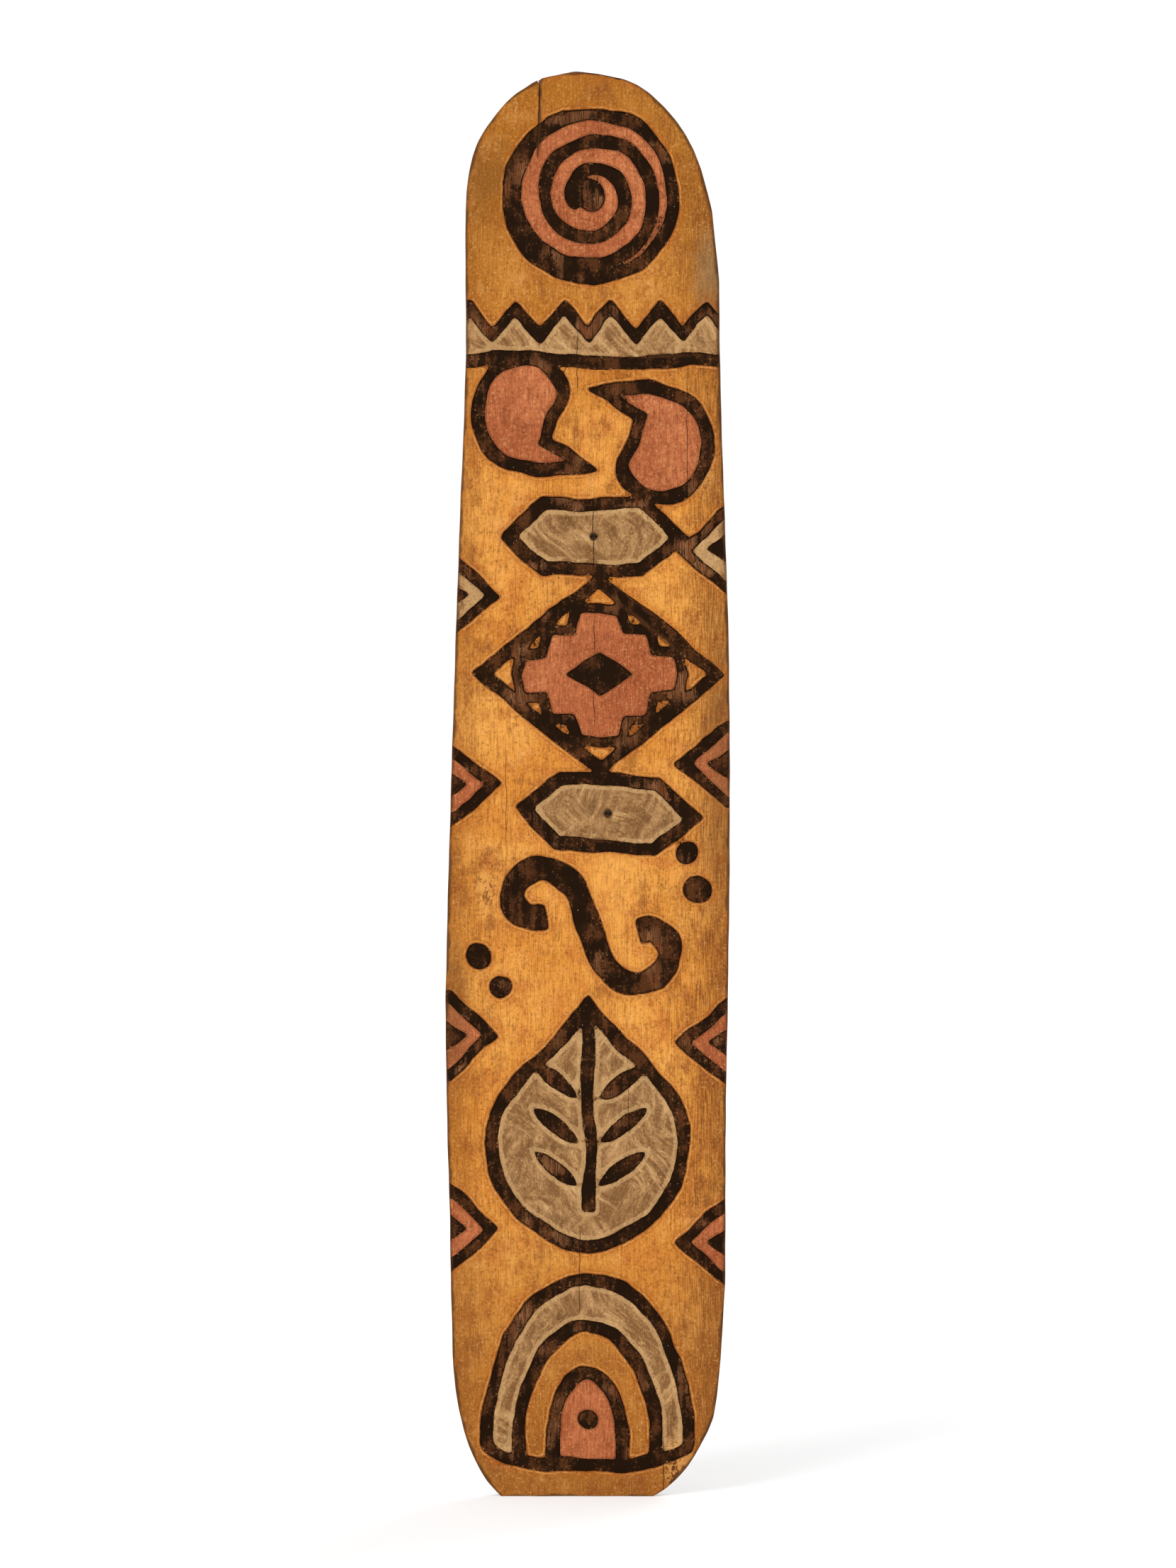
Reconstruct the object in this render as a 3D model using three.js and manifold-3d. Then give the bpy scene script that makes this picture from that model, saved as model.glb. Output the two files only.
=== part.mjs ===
// A long carved board shield: one plank with a painted design cut into its front, and on
// its back a bowed cane grip whose ends pass through two holes and are wedged at the front.
// Millimetres. +Z runs up the board, -Y is the carved front, +Y the side that is held.
// The origin is on the flat foot, in the middle of the board's width and thickness.

import * as THREE from 'three';
import { mergeVertices } from 'three/addons/utils/BufferGeometryUtils.js';
import Module from 'manifold-3d';

const wasm = await Module();
wasm.setup();

// The plank
const BOARD_HEIGHT = 1690;
const BOARD_WIDTH = 338;
const BOARD_THICKNESS = 24;
const FRONT_CROWN = 4; // how far the front falls back from the middle line to the sides
const BACK_CROWN = 3;
const TOP_THINNING = 3; // taken off each face towards the top
const EDGE_ROUND = 4;
const FOOT_ROUND = 1; // the foot is sawn square
const END_REACH = 165; // from each end to the last point of the middle line

// The carved lines
const CARVING_DEPTH = 2.2;
const LINE_WIDTH = 15;
const FINE_LINE_WIDTH = 12;
const BROAD_LINE_WIDTH = 28;
const WIDTH_WAVER_share = 0.07; // a line cut by hand swells and narrows by this much
const LONGEST_CUT = 40; // a straight line was cut in lengths no longer than this
const CUT_WAVER = 0.5; // and wavers by this much from one length to the next
const CURVE_STEPS = 4; // from one point of a drawn curve to the next
const DISC_STEPS = 16;
const DOT_STEPS = 12;

// The drying split at the top
const SPLIT_LENGTH = 92;
const SPLIT_WIDTH = 2;
const CHIP_WIDTH = 12;
const CHIP_DEPTH = 6;

// The cane grip
const CANE_DIAMETER = 7.8;
const SIDE_CANE_DIAMETER = 6.8;
const GRIP_RISE = 62; // from the back of the board to the middle of the bowed cane
const CANE_SETBACK = 1; // how far the cane's ends stop below the front
const HOLE_CLEARANCE = 0.3;
const CANE_GAP = 0.3;
const SIDE_CANE_OVERHANG = 12; // how far the side canes run past the end wraps

// The split cane that is wound round the bundle
const STRIP_WIDTH = 6;
const STRIP_THICKNESS = 1.4;
const STRIP_CLEARANCE = 0.3;
const TURN_GAP = 0.5; // between one turn and the next
const GRIP_WRAP_TURNS = 19;
const END_WRAP_TURNS = 3;
const END_WRAP_PLACE = 90; // along the bow, from its middle to the middle of each end wrap

// The wedges that spread the cane's ends in their holes
const WEDGE_LENGTH = 10;
const WEDGE_HEAD = 2;
const WEDGE_TIP = 0.9;
const WEDGE_WIDTH = 6;
const WEDGE_CLEARANCE = 0.3;

const CUT_OVERRUN = 3; // how far every cutter runs past the face that it opens

const HALF_WIDTH = BOARD_WIDTH / 2;

// Outline of the plank as shares of its half width and its height, from the foot's corner
// up to the top, as it was cut by hand: the two sides differ.
const LEFT_EDGE_shares = [
  [-0.607, 0], [-0.71, 0.0104], [-0.795, 0.0254], [-0.87, 0.0452], [-0.929, 0.0751],
  [-0.954, 0.1047], [-0.964, 0.1775], [-0.988, 0.26], [-1, 0.345], [-0.988, 0.403],
  [-0.944, 0.552], [-0.899, 0.686], [-0.855, 0.8], [-0.86, 0.9], [-0.834, 0.93],
  [-0.775, 0.9497], [-0.645, 0.9698], [-0.502, 0.9846], [-0.314, 0.9947], [-0.089, 1],
];
const RIGHT_EDGE_shares = [
  [0.457, 0], [0.556, 0.0054], [0.7, 0.02], [0.795, 0.0353], [0.8846, 0.055],
  [0.924, 0.085], [0.9645, 0.1296], [0.969, 0.254], [0.992, 0.379], [1, 0.48],
  [0.992, 0.6], [0.9586, 0.701], [0.929, 0.8], [0.9195, 0.875], [0.845, 0.915],
  [0.7456, 0.945], [0.626, 0.9647], [0.438, 0.9846], [0.253, 0.9947], [-0.089, 1],
];

// The holes for the cane, as seen in the front
const UPPER_HOLE_shares = [0.041, 0.673];
const LOWER_HOLE_shares = [0.142, 0.479];

const place = (xShare, zShare) => new THREE.Vector2(xShare * HALF_WIDTH, zShare * BOARD_HEIGHT);
const placeAll = (shares) => shares.map(([x, z]) => place(x, z));

// Half the board's thickness at a point of its plan, on the front or the back
function faceAt(x, z, crown) {
  const across = x / HALF_WIDTH;
  const up = Math.max((2 * z) / BOARD_HEIGHT - 1, 0);
  return BOARD_THICKNESS / 2 - crown * across ** 2 - TOP_THINNING * up ** 4;
}

const frontAt = (x, z) => -faceAt(x, z, FRONT_CROWN);
const backAt = (x, z) => faceAt(x, z, BACK_CROWN);

// A smooth path through points of the plan
function smoothPath(points, stepsPerSpan) {
  const curve = new THREE.CatmullRomCurve3(
    points.map((p) => new THREE.Vector3(p.x, p.y, 0)), false, 'centripetal',
  );
  return curve.getPoints((points.length - 1) * stepsPerSpan)
    .map((p) => new THREE.Vector2(p.x, p.y));
}

// Closed surface from rings of points, each with as many points as the next. Points that
// fall together are merged, and triangles that they flatten are dropped.
function surfaceFromRings(rings, closesOnItself) {
  const positions = rings.flat().flatMap((p) => [p.x, p.y, p.z]);
  const count = rings[0].length;
  const strips = closesOnItself ? rings.length : rings.length - 1;
  const index = [];
  for (let i = 0; i < strips; i += 1) {
    for (let j = 0; j < count; j += 1) {
      const here = i * count;
      const next = ((i + 1) % rings.length) * count;
      const k = (j + 1) % count;
      index.push(here + j, here + k, next + j, here + k, next + k, next + j);
    }
  }
  return closedGeometry(positions, index);
}

function closedGeometry(positions, index) {
  const loose = new THREE.BufferGeometry();
  loose.setAttribute('position', new THREE.Float32BufferAttribute(positions, 3));
  loose.setIndex(index);
  const merged = mergeVertices(loose);
  const kept = [];
  for (let i = 0; i < merged.index.count; i += 3) {
    const [a, b, c] = [0, 1, 2].map((k) => merged.index.getX(i + k));
    if (a !== b && b !== c && c !== a) kept.push(a, b, c);
  }
  merged.setIndex(kept);
  return merged;
}

function solid(geometry) {
  const bare = geometry.clone();
  bare.deleteAttribute('normal');
  bare.deleteAttribute('uv');
  const merged = mergeVertices(bare);
  return new wasm.Manifold(new wasm.Mesh({
    numProp: 3,
    vertProperties: Float32Array.from(merged.attributes.position.array),
    triVerts: Uint32Array.from(merged.index.array),
  }));
}

function geometryOf(manifold) {
  const mesh = manifold.getMesh();
  const geometry = new THREE.BufferGeometry();
  const positions = [];
  for (let i = 0; i < mesh.vertProperties.length; i += mesh.numProp) {
    positions.push(mesh.vertProperties[i], mesh.vertProperties[i + 1], mesh.vertProperties[i + 2]);
  }
  geometry.setAttribute('position', new THREE.Float32BufferAttribute(positions, 3));
  geometry.setIndex(Array.from(mesh.triVerts));
  geometry.computeVertexNormals();
  return geometry;
}

// Evenly spaced points of one edge of the board, from one height to another
function pointsOn(edge, low, high) {
  const steps = 16;
  return Array.from({ length: steps + 1 }, (_, i) => {
    const z = THREE.MathUtils.lerp(low, high, i / steps);
    const after = edge.findIndex((p) => p.y >= z);
    const [a, b] = [edge[after - 1], edge[after]];
    return a.clone().lerp(b, (z - a.y) / (b.y - a.y));
  });
}

// Each point of the outline, with the point of the middle line that it is measured from and
// how far the faces are rounded there
function boardRim() {
  const low = END_REACH;
  const high = BOARD_HEIGHT - END_REACH;
  const edgeSteps = 2;
  const footSteps = 6;
  const left = smoothPath(placeAll(LEFT_EDGE_shares), edgeSteps);
  const right = smoothPath(placeAll(RIGHT_EDGE_shares), edgeSteps);
  const foot = Array.from({ length: footSteps - 1 }, (_, i) => left[0].clone()
    .lerp(right[0], (i + 1) / footSteps));
  const tips = [
    ...foot,
    ...right.filter((p) => p.y < low),
    ...pointsOn(right, low, high),
    ...right.filter((p) => p.y > high),
    ...left.filter((p) => p.y > high && p.y < BOARD_HEIGHT).reverse(),
    ...pointsOn(left, low, high).reverse(),
    ...left.filter((p) => p.y < low).reverse(),
  ];
  return tips.map((tip) => ({
    tip,
    root: new THREE.Vector2(0, THREE.MathUtils.clamp(tip.y, low, high)),
    round: tip.y > 0 ? EDGE_ROUND : FOOT_ROUND,
  }));
}

// The plank, as rings that run in from the outline to the middle line on each face
function plank() {
  const rim = boardRim();
  const quarter = Math.PI / 2;
  const turns = [0, quarter / 3, (2 * quarter) / 3, quarter];
  const innerShares = [0.62, 0.3, 0];
  const ring = (turn, share, faceY) => rim.map(({ tip, root, round }) => {
    const inset = round * (1 - Math.cos(turn));
    const drop = round * (1 - Math.sin(turn));
    const p = tip.clone().lerp(root, inset / tip.distanceTo(root)).sub(root)
      .multiplyScalar(share).add(root);
    const y = faceY(p.x, p.y);
    return new THREE.Vector3(p.x, y - Math.sign(y) * drop, p.y);
  });
  const face = (faceY) => [
    ...turns.map((turn) => ring(turn, 1, faceY)),
    ...innerShares.map((share) => ring(quarter, share, faceY)),
  ];
  return surfaceFromRings([...face(backAt).reverse(), ...face(frontAt)], false);
}

// A cutter or a plug over a flat outline, between two surfaces given in y
function prismOver(outer, holes, nearY, farY) {
  const loops = [outer, ...holes];
  const wound = loops.map((loop, i) => {
    const anticlockwise = THREE.ShapeUtils.area(loop) > 0;
    return anticlockwise === (i === 0) ? loop : [...loop].reverse();
  });
  const points = wound.flat();
  const count = points.length;
  const positions = [
    ...points.flatMap((p) => [p.x, nearY(p.x, p.y), p.y]),
    ...points.flatMap((p) => [p.x, farY(p.x, p.y), p.y]),
  ];
  const index = [];
  for (const [a, b, c] of THREE.ShapeUtils.triangulateShape(wound[0], wound.slice(1))) {
    const turnsLeft = (points[b].x - points[a].x) * (points[c].y - points[a].y)
      > (points[b].y - points[a].y) * (points[c].x - points[a].x);
    const [p, q, r] = turnsLeft ? [a, b, c] : [a, c, b];
    index.push(p, q, r, count + p, count + r, count + q);
  }
  let start = 0;
  for (const loop of wound) {
    for (let i = 0; i < loop.length; i += 1) {
      const a = start + i;
      const b = start + ((i + 1) % loop.length);
      index.push(a, count + a, count + b, a, count + b, b);
    }
    start += loop.length;
  }
  return solid(closedGeometry(positions, index));
}

// The carved design. Every line is a flat outline, cut to one depth below the front.

const circle = (centre, radius, steps) => Array.from({ length: steps }, (_, i) => {
  const angle = (i / steps) * 2 * Math.PI;
  return new THREE.Vector2(Math.cos(angle), Math.sin(angle)).multiplyScalar(radius).add(centre);
});

const patch = (outer) => ({ outer, holes: [] });

// A path with its long straight lengths divided, so that lines follow the crown of the front
function cutInLengths(path, closed) {
  return path.flatMap((p, i) => {
    if (!closed && i === path.length - 1) return [p];
    const next = path[(i + 1) % path.length];
    const lengths = Math.ceil(p.distanceTo(next) / LONGEST_CUT);
    const across = new THREE.Vector2(p.y - next.y, next.x - p.x).normalize();
    return Array.from({ length: lengths }, (_, k) => p.clone().lerp(next, k / lengths)
      .addScaledVector(across, k % 2 ? CUT_WAVER : 0));
  });
}

// The outline of a line along a path, with its corners mitred
function line(drawn, width, closed = false) {
  const leastMitre = 0.42;
  const waverTurn = 1.1; // radians of the waver from one point of the path to the next
  const path = cutInLengths(drawn, closed);
  const sides = path.map((p, i) => {
    const before = closed ? path[(i - 1 + path.length) % path.length] : path[Math.max(i - 1, 0)];
    const after = closed ? path[(i + 1) % path.length] : path[Math.min(i + 1, path.length - 1)];
    const away = after.equals(p) ? p.clone().sub(before) : after.clone().sub(p);
    const into = before.equals(p) ? away.clone() : p.clone().sub(before);
    const along = into.normalize().clone().add(away.normalize()).normalize();
    const across = new THREE.Vector2(-along.y, along.x);
    const square = new THREE.Vector2(-into.y, into.x);
    const swell = 1 + WIDTH_WAVER_share * Math.sin(i * waverTurn);
    const reach = (swell * width) / 2 / Math.max(across.dot(square), leastMitre);
    return [p.clone().addScaledVector(across, reach), p.clone().addScaledVector(across, -reach)];
  });
  const left = sides.map(([p]) => p);
  const right = sides.map(([, p]) => p);
  if (!closed) return patch([...left, ...right.reverse()]);
  const area = (loop) => Math.abs(THREE.ShapeUtils.area(loop));
  const [outer, inner] = area(left) > area(right) ? [left, right] : [right, left];
  return { outer, holes: [inner] };
}

// Points given as shares of a motif's own width and height, set about its centre
const motif = (centre, width, height, shares) => shares.map(
  ([x, z]) => new THREE.Vector2(centre.x + x * width, centre.y + z * height),
);

// A disc with a spiral that winds in from its rim
function roundel() {
  const radius = 98;
  const eyeRadius = 19;
  const turns = 2.35;
  const startAngle = THREE.MathUtils.degToRad(100);
  const rimSteps = 40;
  const stepsPerTurn = 26;
  const centreShares = [0.024, 0.912];
  const centre = place(...centreShares);
  const steps = Math.round(turns * stepsPerTurn);
  const winding = Array.from({ length: steps + 1 }, (_, i) => {
    const angle = startAngle + (i / stepsPerTurn) * 2 * Math.PI;
    const reach = THREE.MathUtils.lerp(radius, eyeRadius, i / steps);
    return new THREE.Vector2(Math.cos(angle), Math.sin(angle)).multiplyScalar(reach).add(centre);
  });
  return [
    line(circle(centre, radius, rimSteps), LINE_WIDTH, true),
    line(winding, LINE_WIDTH),
    patch(circle(centre, eyeRadius, DISC_STEPS)),
  ];
}

// A row of teeth over a line, from one side of the board to the other
function sawtoothStrip() {
  const toothCount = 6;
  const toothHeight = 34;
  const lineDrop = 46;
  const sway = 4; // how far the line strays from the level
  const heightShare = 0.8237;
  const swayShares = [[-1, 0], [-0.4, 1], [0.15, -1], [1, 0.5]];
  const middle = heightShare * BOARD_HEIGHT;
  const teeth = Array.from({ length: 2 * toothCount + 1 }, (_, i) => new THREE.Vector2(
    THREE.MathUtils.lerp(-HALF_WIDTH, HALF_WIDTH, i / (2 * toothCount)),
    middle + (i % 2 ? toothHeight : -toothHeight) / 2,
  ));
  const base = swayShares.map(([x, z]) => new THREE.Vector2(
    x * HALF_WIDTH, middle - lineDrop + z * sway,
  ));
  return [line(teeth, FINE_LINE_WIDTH), line(base, LINE_WIDTH)];
}

// Two hooked drops, one the other way up, that curl about each other
function hookedPair() {
  const width = 128;
  const height = 136;
  const spread = 74; // from the middle of the pair to the middle of each hook
  const step = 18; // one hook hangs lower than the other by twice this much
  const middleShares = [0.036, 0.7485];
  const tipShares = [-0.5, -0.46];
  const bodyShares = [
    [-0.06, -0.5], [0.26, -0.4], [0.47, -0.14], [0.46, 0.2], [0.22, 0.44], [-0.12, 0.43],
    [-0.3, 0.2], [-0.2, -0.04], [-0.14, -0.24],
  ];
  const middle = place(...middleShares);
  return [1, -1].map((sign) => {
    const centre = new THREE.Vector2(middle.x + sign * spread, middle.y - sign * step);
    const [tip, ...body] = motif(centre, sign * width, -sign * height, [tipShares, ...bodyShares]);
    return line([tip, ...smoothPath(body, CURVE_STEPS)], LINE_WIDTH, true);
  });
}

// A long six-sided figure round each of the holes for the cane
function holeSurrounds() {
  const length = 200;
  const height = 78;
  const lowerTurn = THREE.MathUtils.degToRad(-4);
  const cornerShares = [
    [-0.5, 0], [-0.29, 0.5], [0.29, 0.5], [0.5, 0], [0.29, -0.5], [-0.29, -0.5],
  ];
  return [[UPPER_HOLE_shares, 0], [LOWER_HOLE_shares, lowerTurn]].map(([holeShares, turn]) => {
    const centre = place(...holeShares);
    const corners = motif(centre, length, height, cornerShares);
    return line(corners.map((p) => p.rotateAround(centre, turn)), LINE_WIDTH, true);
  });
}

// A solid lozenge inside a stepped lozenge inside a plain one
function lozenge() {
  const length = 280;
  const height = 224;
  const steppedLength = 200;
  const steppedHeight = 160;
  const stepHeight = 15;
  const stepsPerSide = 3;
  const heartLength = 84;
  const heartHeight = 52;
  const centreShares = [0.083, 0.5764];
  const cornerShares = [[-0.5, 0], [0, 0.5], [0.5, 0], [0, -0.5]];
  const centre = place(...centreShares);
  const corners = motif(centre, steppedLength, steppedHeight, cornerShares);
  const stepped = corners.flatMap((corner, i) => {
    const side = corners[(i + 1) % corners.length].clone().sub(corner);
    const outwards = new THREE.Vector2(-side.y, side.x).normalize();
    return Array.from({ length: 2 * stepsPerSide }, (_, k) => corner.clone()
      .addScaledVector(side, k / (2 * stepsPerSide))
      .addScaledVector(outwards, k % 2 ? stepHeight : 0));
  });
  return [
    line(motif(centre, length, height, cornerShares), LINE_WIDTH, true),
    line(stepped, FINE_LINE_WIDTH, true),
    patch(motif(centre, heartLength, heartHeight, cornerShares)),
  ];
}

// One broad line that hooks back at both ends
function scroll() {
  const width = 188;
  const height = 136;
  const centreShares = [0.012, 0.3994];
  const scrollShares = [
    [-0.27, 0.09], [-0.38, 0.08], [-0.49, 0.21], [-0.44, 0.43], [-0.26, 0.5], [-0.08, 0.34],
    [0, 0], [0.1, -0.34], [0.29, -0.5], [0.47, -0.4], [0.51, -0.17], [0.41, -0.02], [0.3, -0.05],
  ];
  const path = motif(place(...centreShares), width, height, scrollShares);
  return [line(smoothPath(path, CURVE_STEPS), BROAD_LINE_WIDTH)];
}

// One vein of the leaf: a narrow pointed oval, turned about its centre
function vein(centre, turn) {
  const length = 72;
  const width = 19;
  const steps = 6;
  const fullness = 0.8;
  const side = (sign) => Array.from({ length: steps }, (_, i) => {
    const share = i / steps;
    const bulge = Math.sin(Math.PI * share) ** fullness;
    return new THREE.Vector2(sign * (share - 1 / 2) * length, (sign * bulge * width) / 2);
  });
  const middle = new THREE.Vector2();
  return [...side(1), ...side(-1)].map((p) => p.rotateAround(middle, turn).add(centre));
}

// A large leaf with a midrib and pairs of veins
function leaf() {
  const width = 228;
  const height = 288;
  const midribWidth = 14;
  const veinTurn = THREE.MathUtils.degToRad(38);
  const veinReach = 40; // from the midrib to the middle of a vein
  const centreShares = [0.012, 0.2604];
  const tipShares = [0, 0.5];
  const bladeShares = [
    [-0.16, 0.34], [-0.36, 0.2], [-0.5, -0.02], [-0.46, -0.25], [-0.25, -0.43], [0, -0.5],
    [0.25, -0.42], [0.45, -0.24], [0.49, -0.01], [0.34, 0.21], [0.15, 0.34],
  ];
  const midribShares = [[0, 0.47], [-0.01, 0.2], [0.01, -0.08], [0, -0.36]];
  const veinHeightShares = [-0.18, 0, 0.18];
  const centre = place(...centreShares);
  const [tip, ...blade] = motif(centre, width, height, [tipShares, ...bladeShares]);
  const veins = veinHeightShares.flatMap((share) => [1, -1].map((side) => patch(vein(
    new THREE.Vector2(centre.x + side * veinReach, centre.y + share * height), side * veinTurn,
  ))));
  return [
    line([tip, ...smoothPath(blade, CURVE_STEPS)], LINE_WIDTH, true),
    line(motif(centre, width, height, midribShares), midribWidth),
    ...veins,
  ];
}

// Three arches, one inside another, that stand on one shallow curve
function nestedArches() {
  const width = 240;
  const height = 196;
  const sag = 26;
  const dotRadius = 12;
  const steps = 18;
  const footShares = [0, 0.0367];
  const widthShares = [1, 0.675, 0.35];
  const heightShares = [1, 0.714, 0.439];
  const widths = widthShares.map((share) => share * width);
  const heights = heightShares.map((share) => share * height);
  const foot = place(...footShares);
  const halfOval = (span, rise) => Array.from({ length: steps + 1 }, (_, i) => {
    const angle = (i / steps) * Math.PI;
    return new THREE.Vector2((Math.cos(angle) * span) / 2, Math.sin(angle) * rise).add(foot);
  });
  const base = halfOval(width, -sag).slice(1, -1).reverse();
  const outerArch = line([...halfOval(width, height), ...base], LINE_WIDTH, true);
  const innerArches = [1, 2].map((which) => {
    const arch = halfOval(widths[which], heights[which]);
    const dip = sag * Math.sqrt(1 - widthShares[which] ** 2);
    const legs = [arch[0], arch[steps]].map((p) => new THREE.Vector2(p.x, p.y - dip));
    return line([legs[0], ...arch, legs[1]], LINE_WIDTH);
  });
  const dotCentre = new THREE.Vector2(foot.x, foot.y + heights[2] / 3);
  return [outerArch, ...innerArches, patch(circle(dotCentre, dotRadius, DOT_STEPS))];
}

// Points that come in from the sides of the board, each round a small solid one
function sidePoints() {
  const reach = 56;
  const height = 100;
  const innerReach = 28;
  const innerHeight = 36;
  const centreShares = [
    [-1, 0.632], [1, 0.664], [-1, 0.499], [1, 0.5135],
    [-1, 0.3225], [1, 0.3185], [-1, 0.188], [1, 0.178],
  ];
  const pointShares = [[0, 0.5], [-1, 0], [0, -0.5]];
  return centreShares.flatMap(([side, z]) => {
    const centre = place(side, z);
    return [
      line(motif(centre, side * reach, height, pointShares), FINE_LINE_WIDTH),
      patch(motif(centre, side * innerReach, innerHeight, pointShares)),
    ];
  });
}

function discs() {
  const largeRadius = 16;
  const smallRadius = 13;
  const largeShares = [[-0.757, 0.3787], [0.769, 0.426]];
  const smallShares = [[-0.615, 0.3574], [0.698, 0.4509]];
  return [
    ...placeAll(largeShares).map((centre) => patch(circle(centre, largeRadius, DISC_STEPS))),
    ...placeAll(smallShares).map((centre) => patch(circle(centre, smallRadius, DISC_STEPS))),
  ];
}

// The wedge-shaped split that ran down from the top as the wood dried, with its chipped mouth
function splitOutline() {
  const topShares = [-0.33, 0.9935];
  const lean = 3; // how far the split wanders sideways on its way down
  const tipWidth = 0.5;
  const top = place(...topShares);
  const mouth = top.y + CHIP_DEPTH;
  return [
    new THREE.Vector2(top.x - CHIP_WIDTH / 2, mouth),
    new THREE.Vector2(top.x - SPLIT_WIDTH / 2, top.y - CHIP_DEPTH),
    new THREE.Vector2(top.x - lean - tipWidth / 2, top.y - SPLIT_LENGTH),
    new THREE.Vector2(top.x - lean + tipWidth / 2, top.y - SPLIT_LENGTH),
    new THREE.Vector2(top.x + SPLIT_WIDTH / 2, top.y - CHIP_DEPTH),
    new THREE.Vector2(top.x + SPLIT_WIDTH, mouth),
  ];
}

const upperHole = place(...UPPER_HOLE_shares);
const lowerHole = place(...LOWER_HOLE_shares);

function boardGeometry() {
  const holeRadius = CANE_DIAMETER / 2 + HOLE_CLEARANCE;
  const holeSteps = 20;
  const carved = [
    ...roundel(), ...sawtoothStrip(), ...hookedPair(), ...holeSurrounds(), ...lozenge(),
    ...scroll(), ...leaf(), ...nestedArches(), ...sidePoints(), ...discs(),
  ].map(({ outer, holes }) => prismOver(
    outer, holes,
    (x, z) => frontAt(x, z) - CUT_OVERRUN,
    (x, z) => frontAt(x, z) + CARVING_DEPTH,
  ));
  const through = [
    splitOutline(), ...[upperHole, lowerHole].map((hole) => circle(hole, holeRadius, holeSteps)),
  ].map((outer) => prismOver(
    outer, [],
    () => -BOARD_THICKNESS / 2 - CUT_OVERRUN,
    () => BOARD_THICKNESS / 2 + CUT_OVERRUN,
  ));
  const cut = [...carved, ...through].reduce((all, one) => all.add(one));
  return geometryOf(solid(plank()).subtract(cut));
}

// The grip is made about the middle of the line that joins the two holes: Z runs along that
// line to the upper hole, and Y out from the back of the board.
const holeSpacing = upperHole.distanceTo(lowerHole);
const gripCentre = upperHole.clone().add(lowerHole).divideScalar(2);
const gripTilt = Math.atan2(upperHole.x - lowerHole.x, upperHole.y - lowerHole.y);
const caneRadius = CANE_DIAMETER / 2;
const sideCaneRadius = SIDE_CANE_DIAMETER / 2;
const gripBack = backAt(gripCentre.x, gripCentre.y);
const turnPitch = STRIP_WIDTH + TURN_GAP;
const wrapLength = (turns) => turns * turnPitch + STRIP_WIDTH;

// A point of the bow at an angle from 0, at the lower hole, to PI, at the upper one
function bowAt(angle, across = 0, outwards = 0) {
  const half = holeSpacing / 2;
  const normal = new THREE.Vector2(-Math.cos(angle) / half, Math.sin(angle) / GRIP_RISE).normalize();
  return new THREE.Vector3(
    across,
    gripBack + GRIP_RISE * Math.sin(angle) + outwards * normal.y,
    -half * Math.cos(angle) + outwards * normal.x,
  );
}

// The angle of the point that lies a given way along the bow from its middle
function bowAngle(distance) {
  const step = Math.PI / 720;
  let angle = Math.PI / 2;
  let left = Math.abs(distance);
  while (left > 0) {
    const chord = bowAt(angle).distanceTo(bowAt(angle + step));
    angle += step * Math.min(1, left / chord);
    left -= chord;
  }
  return distance < 0 ? Math.PI - angle : angle;
}

function rod(points, radius, steps, sides) {
  const section = new THREE.Shape(circle(new THREE.Vector2(), radius, sides));
  const extrudePath = new THREE.CatmullRomCurve3(points, false, 'centripetal');
  return new THREE.ExtrudeGeometry(section, { extrudePath, steps, bevelEnabled: false });
}

// The slot in a cane's end, or the wedge that fills it, which tapers in from the front
function wedgeProfile(hole, z, clearance) {
  const head = frontAt(hole.x, hole.y) + CANE_SETBACK;
  return {
    z,
    head,
    tip: head + WEDGE_LENGTH + clearance,
    headHalf: WEDGE_HEAD / 2 + clearance,
    tipHalf: WEDGE_TIP / 2 + clearance,
  };
}

function wedgeGeometry({ head, tip, z, headHalf, tipHalf }, width, overrun) {
  const outline = new THREE.Shape([
    new THREE.Vector2(head - overrun, z - headHalf), new THREE.Vector2(tip, z - tipHalf),
    new THREE.Vector2(tip, z + tipHalf), new THREE.Vector2(head - overrun, z + headHalf),
  ]);
  const geometry = new THREE.ExtrudeGeometry(outline, { depth: width, bevelEnabled: false });
  geometry.translate(0, 0, -width / 2);
  // the profile was drawn in (y, z): stand it up so that its width lies along X
  geometry.applyMatrix4(new THREE.Matrix4().makeBasis(
    new THREE.Vector3(0, 1, 0), new THREE.Vector3(0, 0, 1), new THREE.Vector3(1, 0, 0),
  ));
  return geometry;
}

const grip = new THREE.Group();
grip.position.set(gripCentre.x, 0, gripCentre.y);
grip.rotation.y = gripTilt;

const ends = [
  { name: 'lower_wedge', hole: lowerHole, z: -holeSpacing / 2 },
  { name: 'upper_wedge', hole: upperHole, z: holeSpacing / 2 },
];

// One cane from hole to hole, split at both ends for the wedges
function mainCaneGeometry() {
  const bowSteps = 24;
  const rodSteps = 60;
  const rodSides = 10;
  const bow = Array.from({ length: bowSteps + 1 }, (_, i) => bowAt((i / bowSteps) * Math.PI));
  const heads = ends.map(({ hole, z }) => new THREE.Vector3(
    0, frontAt(hole.x, hole.y) + CANE_SETBACK, z,
  ));
  const middles = heads.map((head) => new THREE.Vector3(0, 0, head.z));
  const points = [heads[0], middles[0], ...bow, middles[1], heads[1]];
  const slots = ends.map(({ hole, z }) => solid(
    wedgeGeometry(wedgeProfile(hole, z, WEDGE_CLEARANCE), CANE_DIAMETER + CUT_OVERRUN, CUT_OVERRUN),
  ));
  const whole = solid(rod(points, caneRadius, rodSteps, rodSides));
  return geometryOf(whole.subtract(slots[0].add(slots[1])));
}

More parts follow.
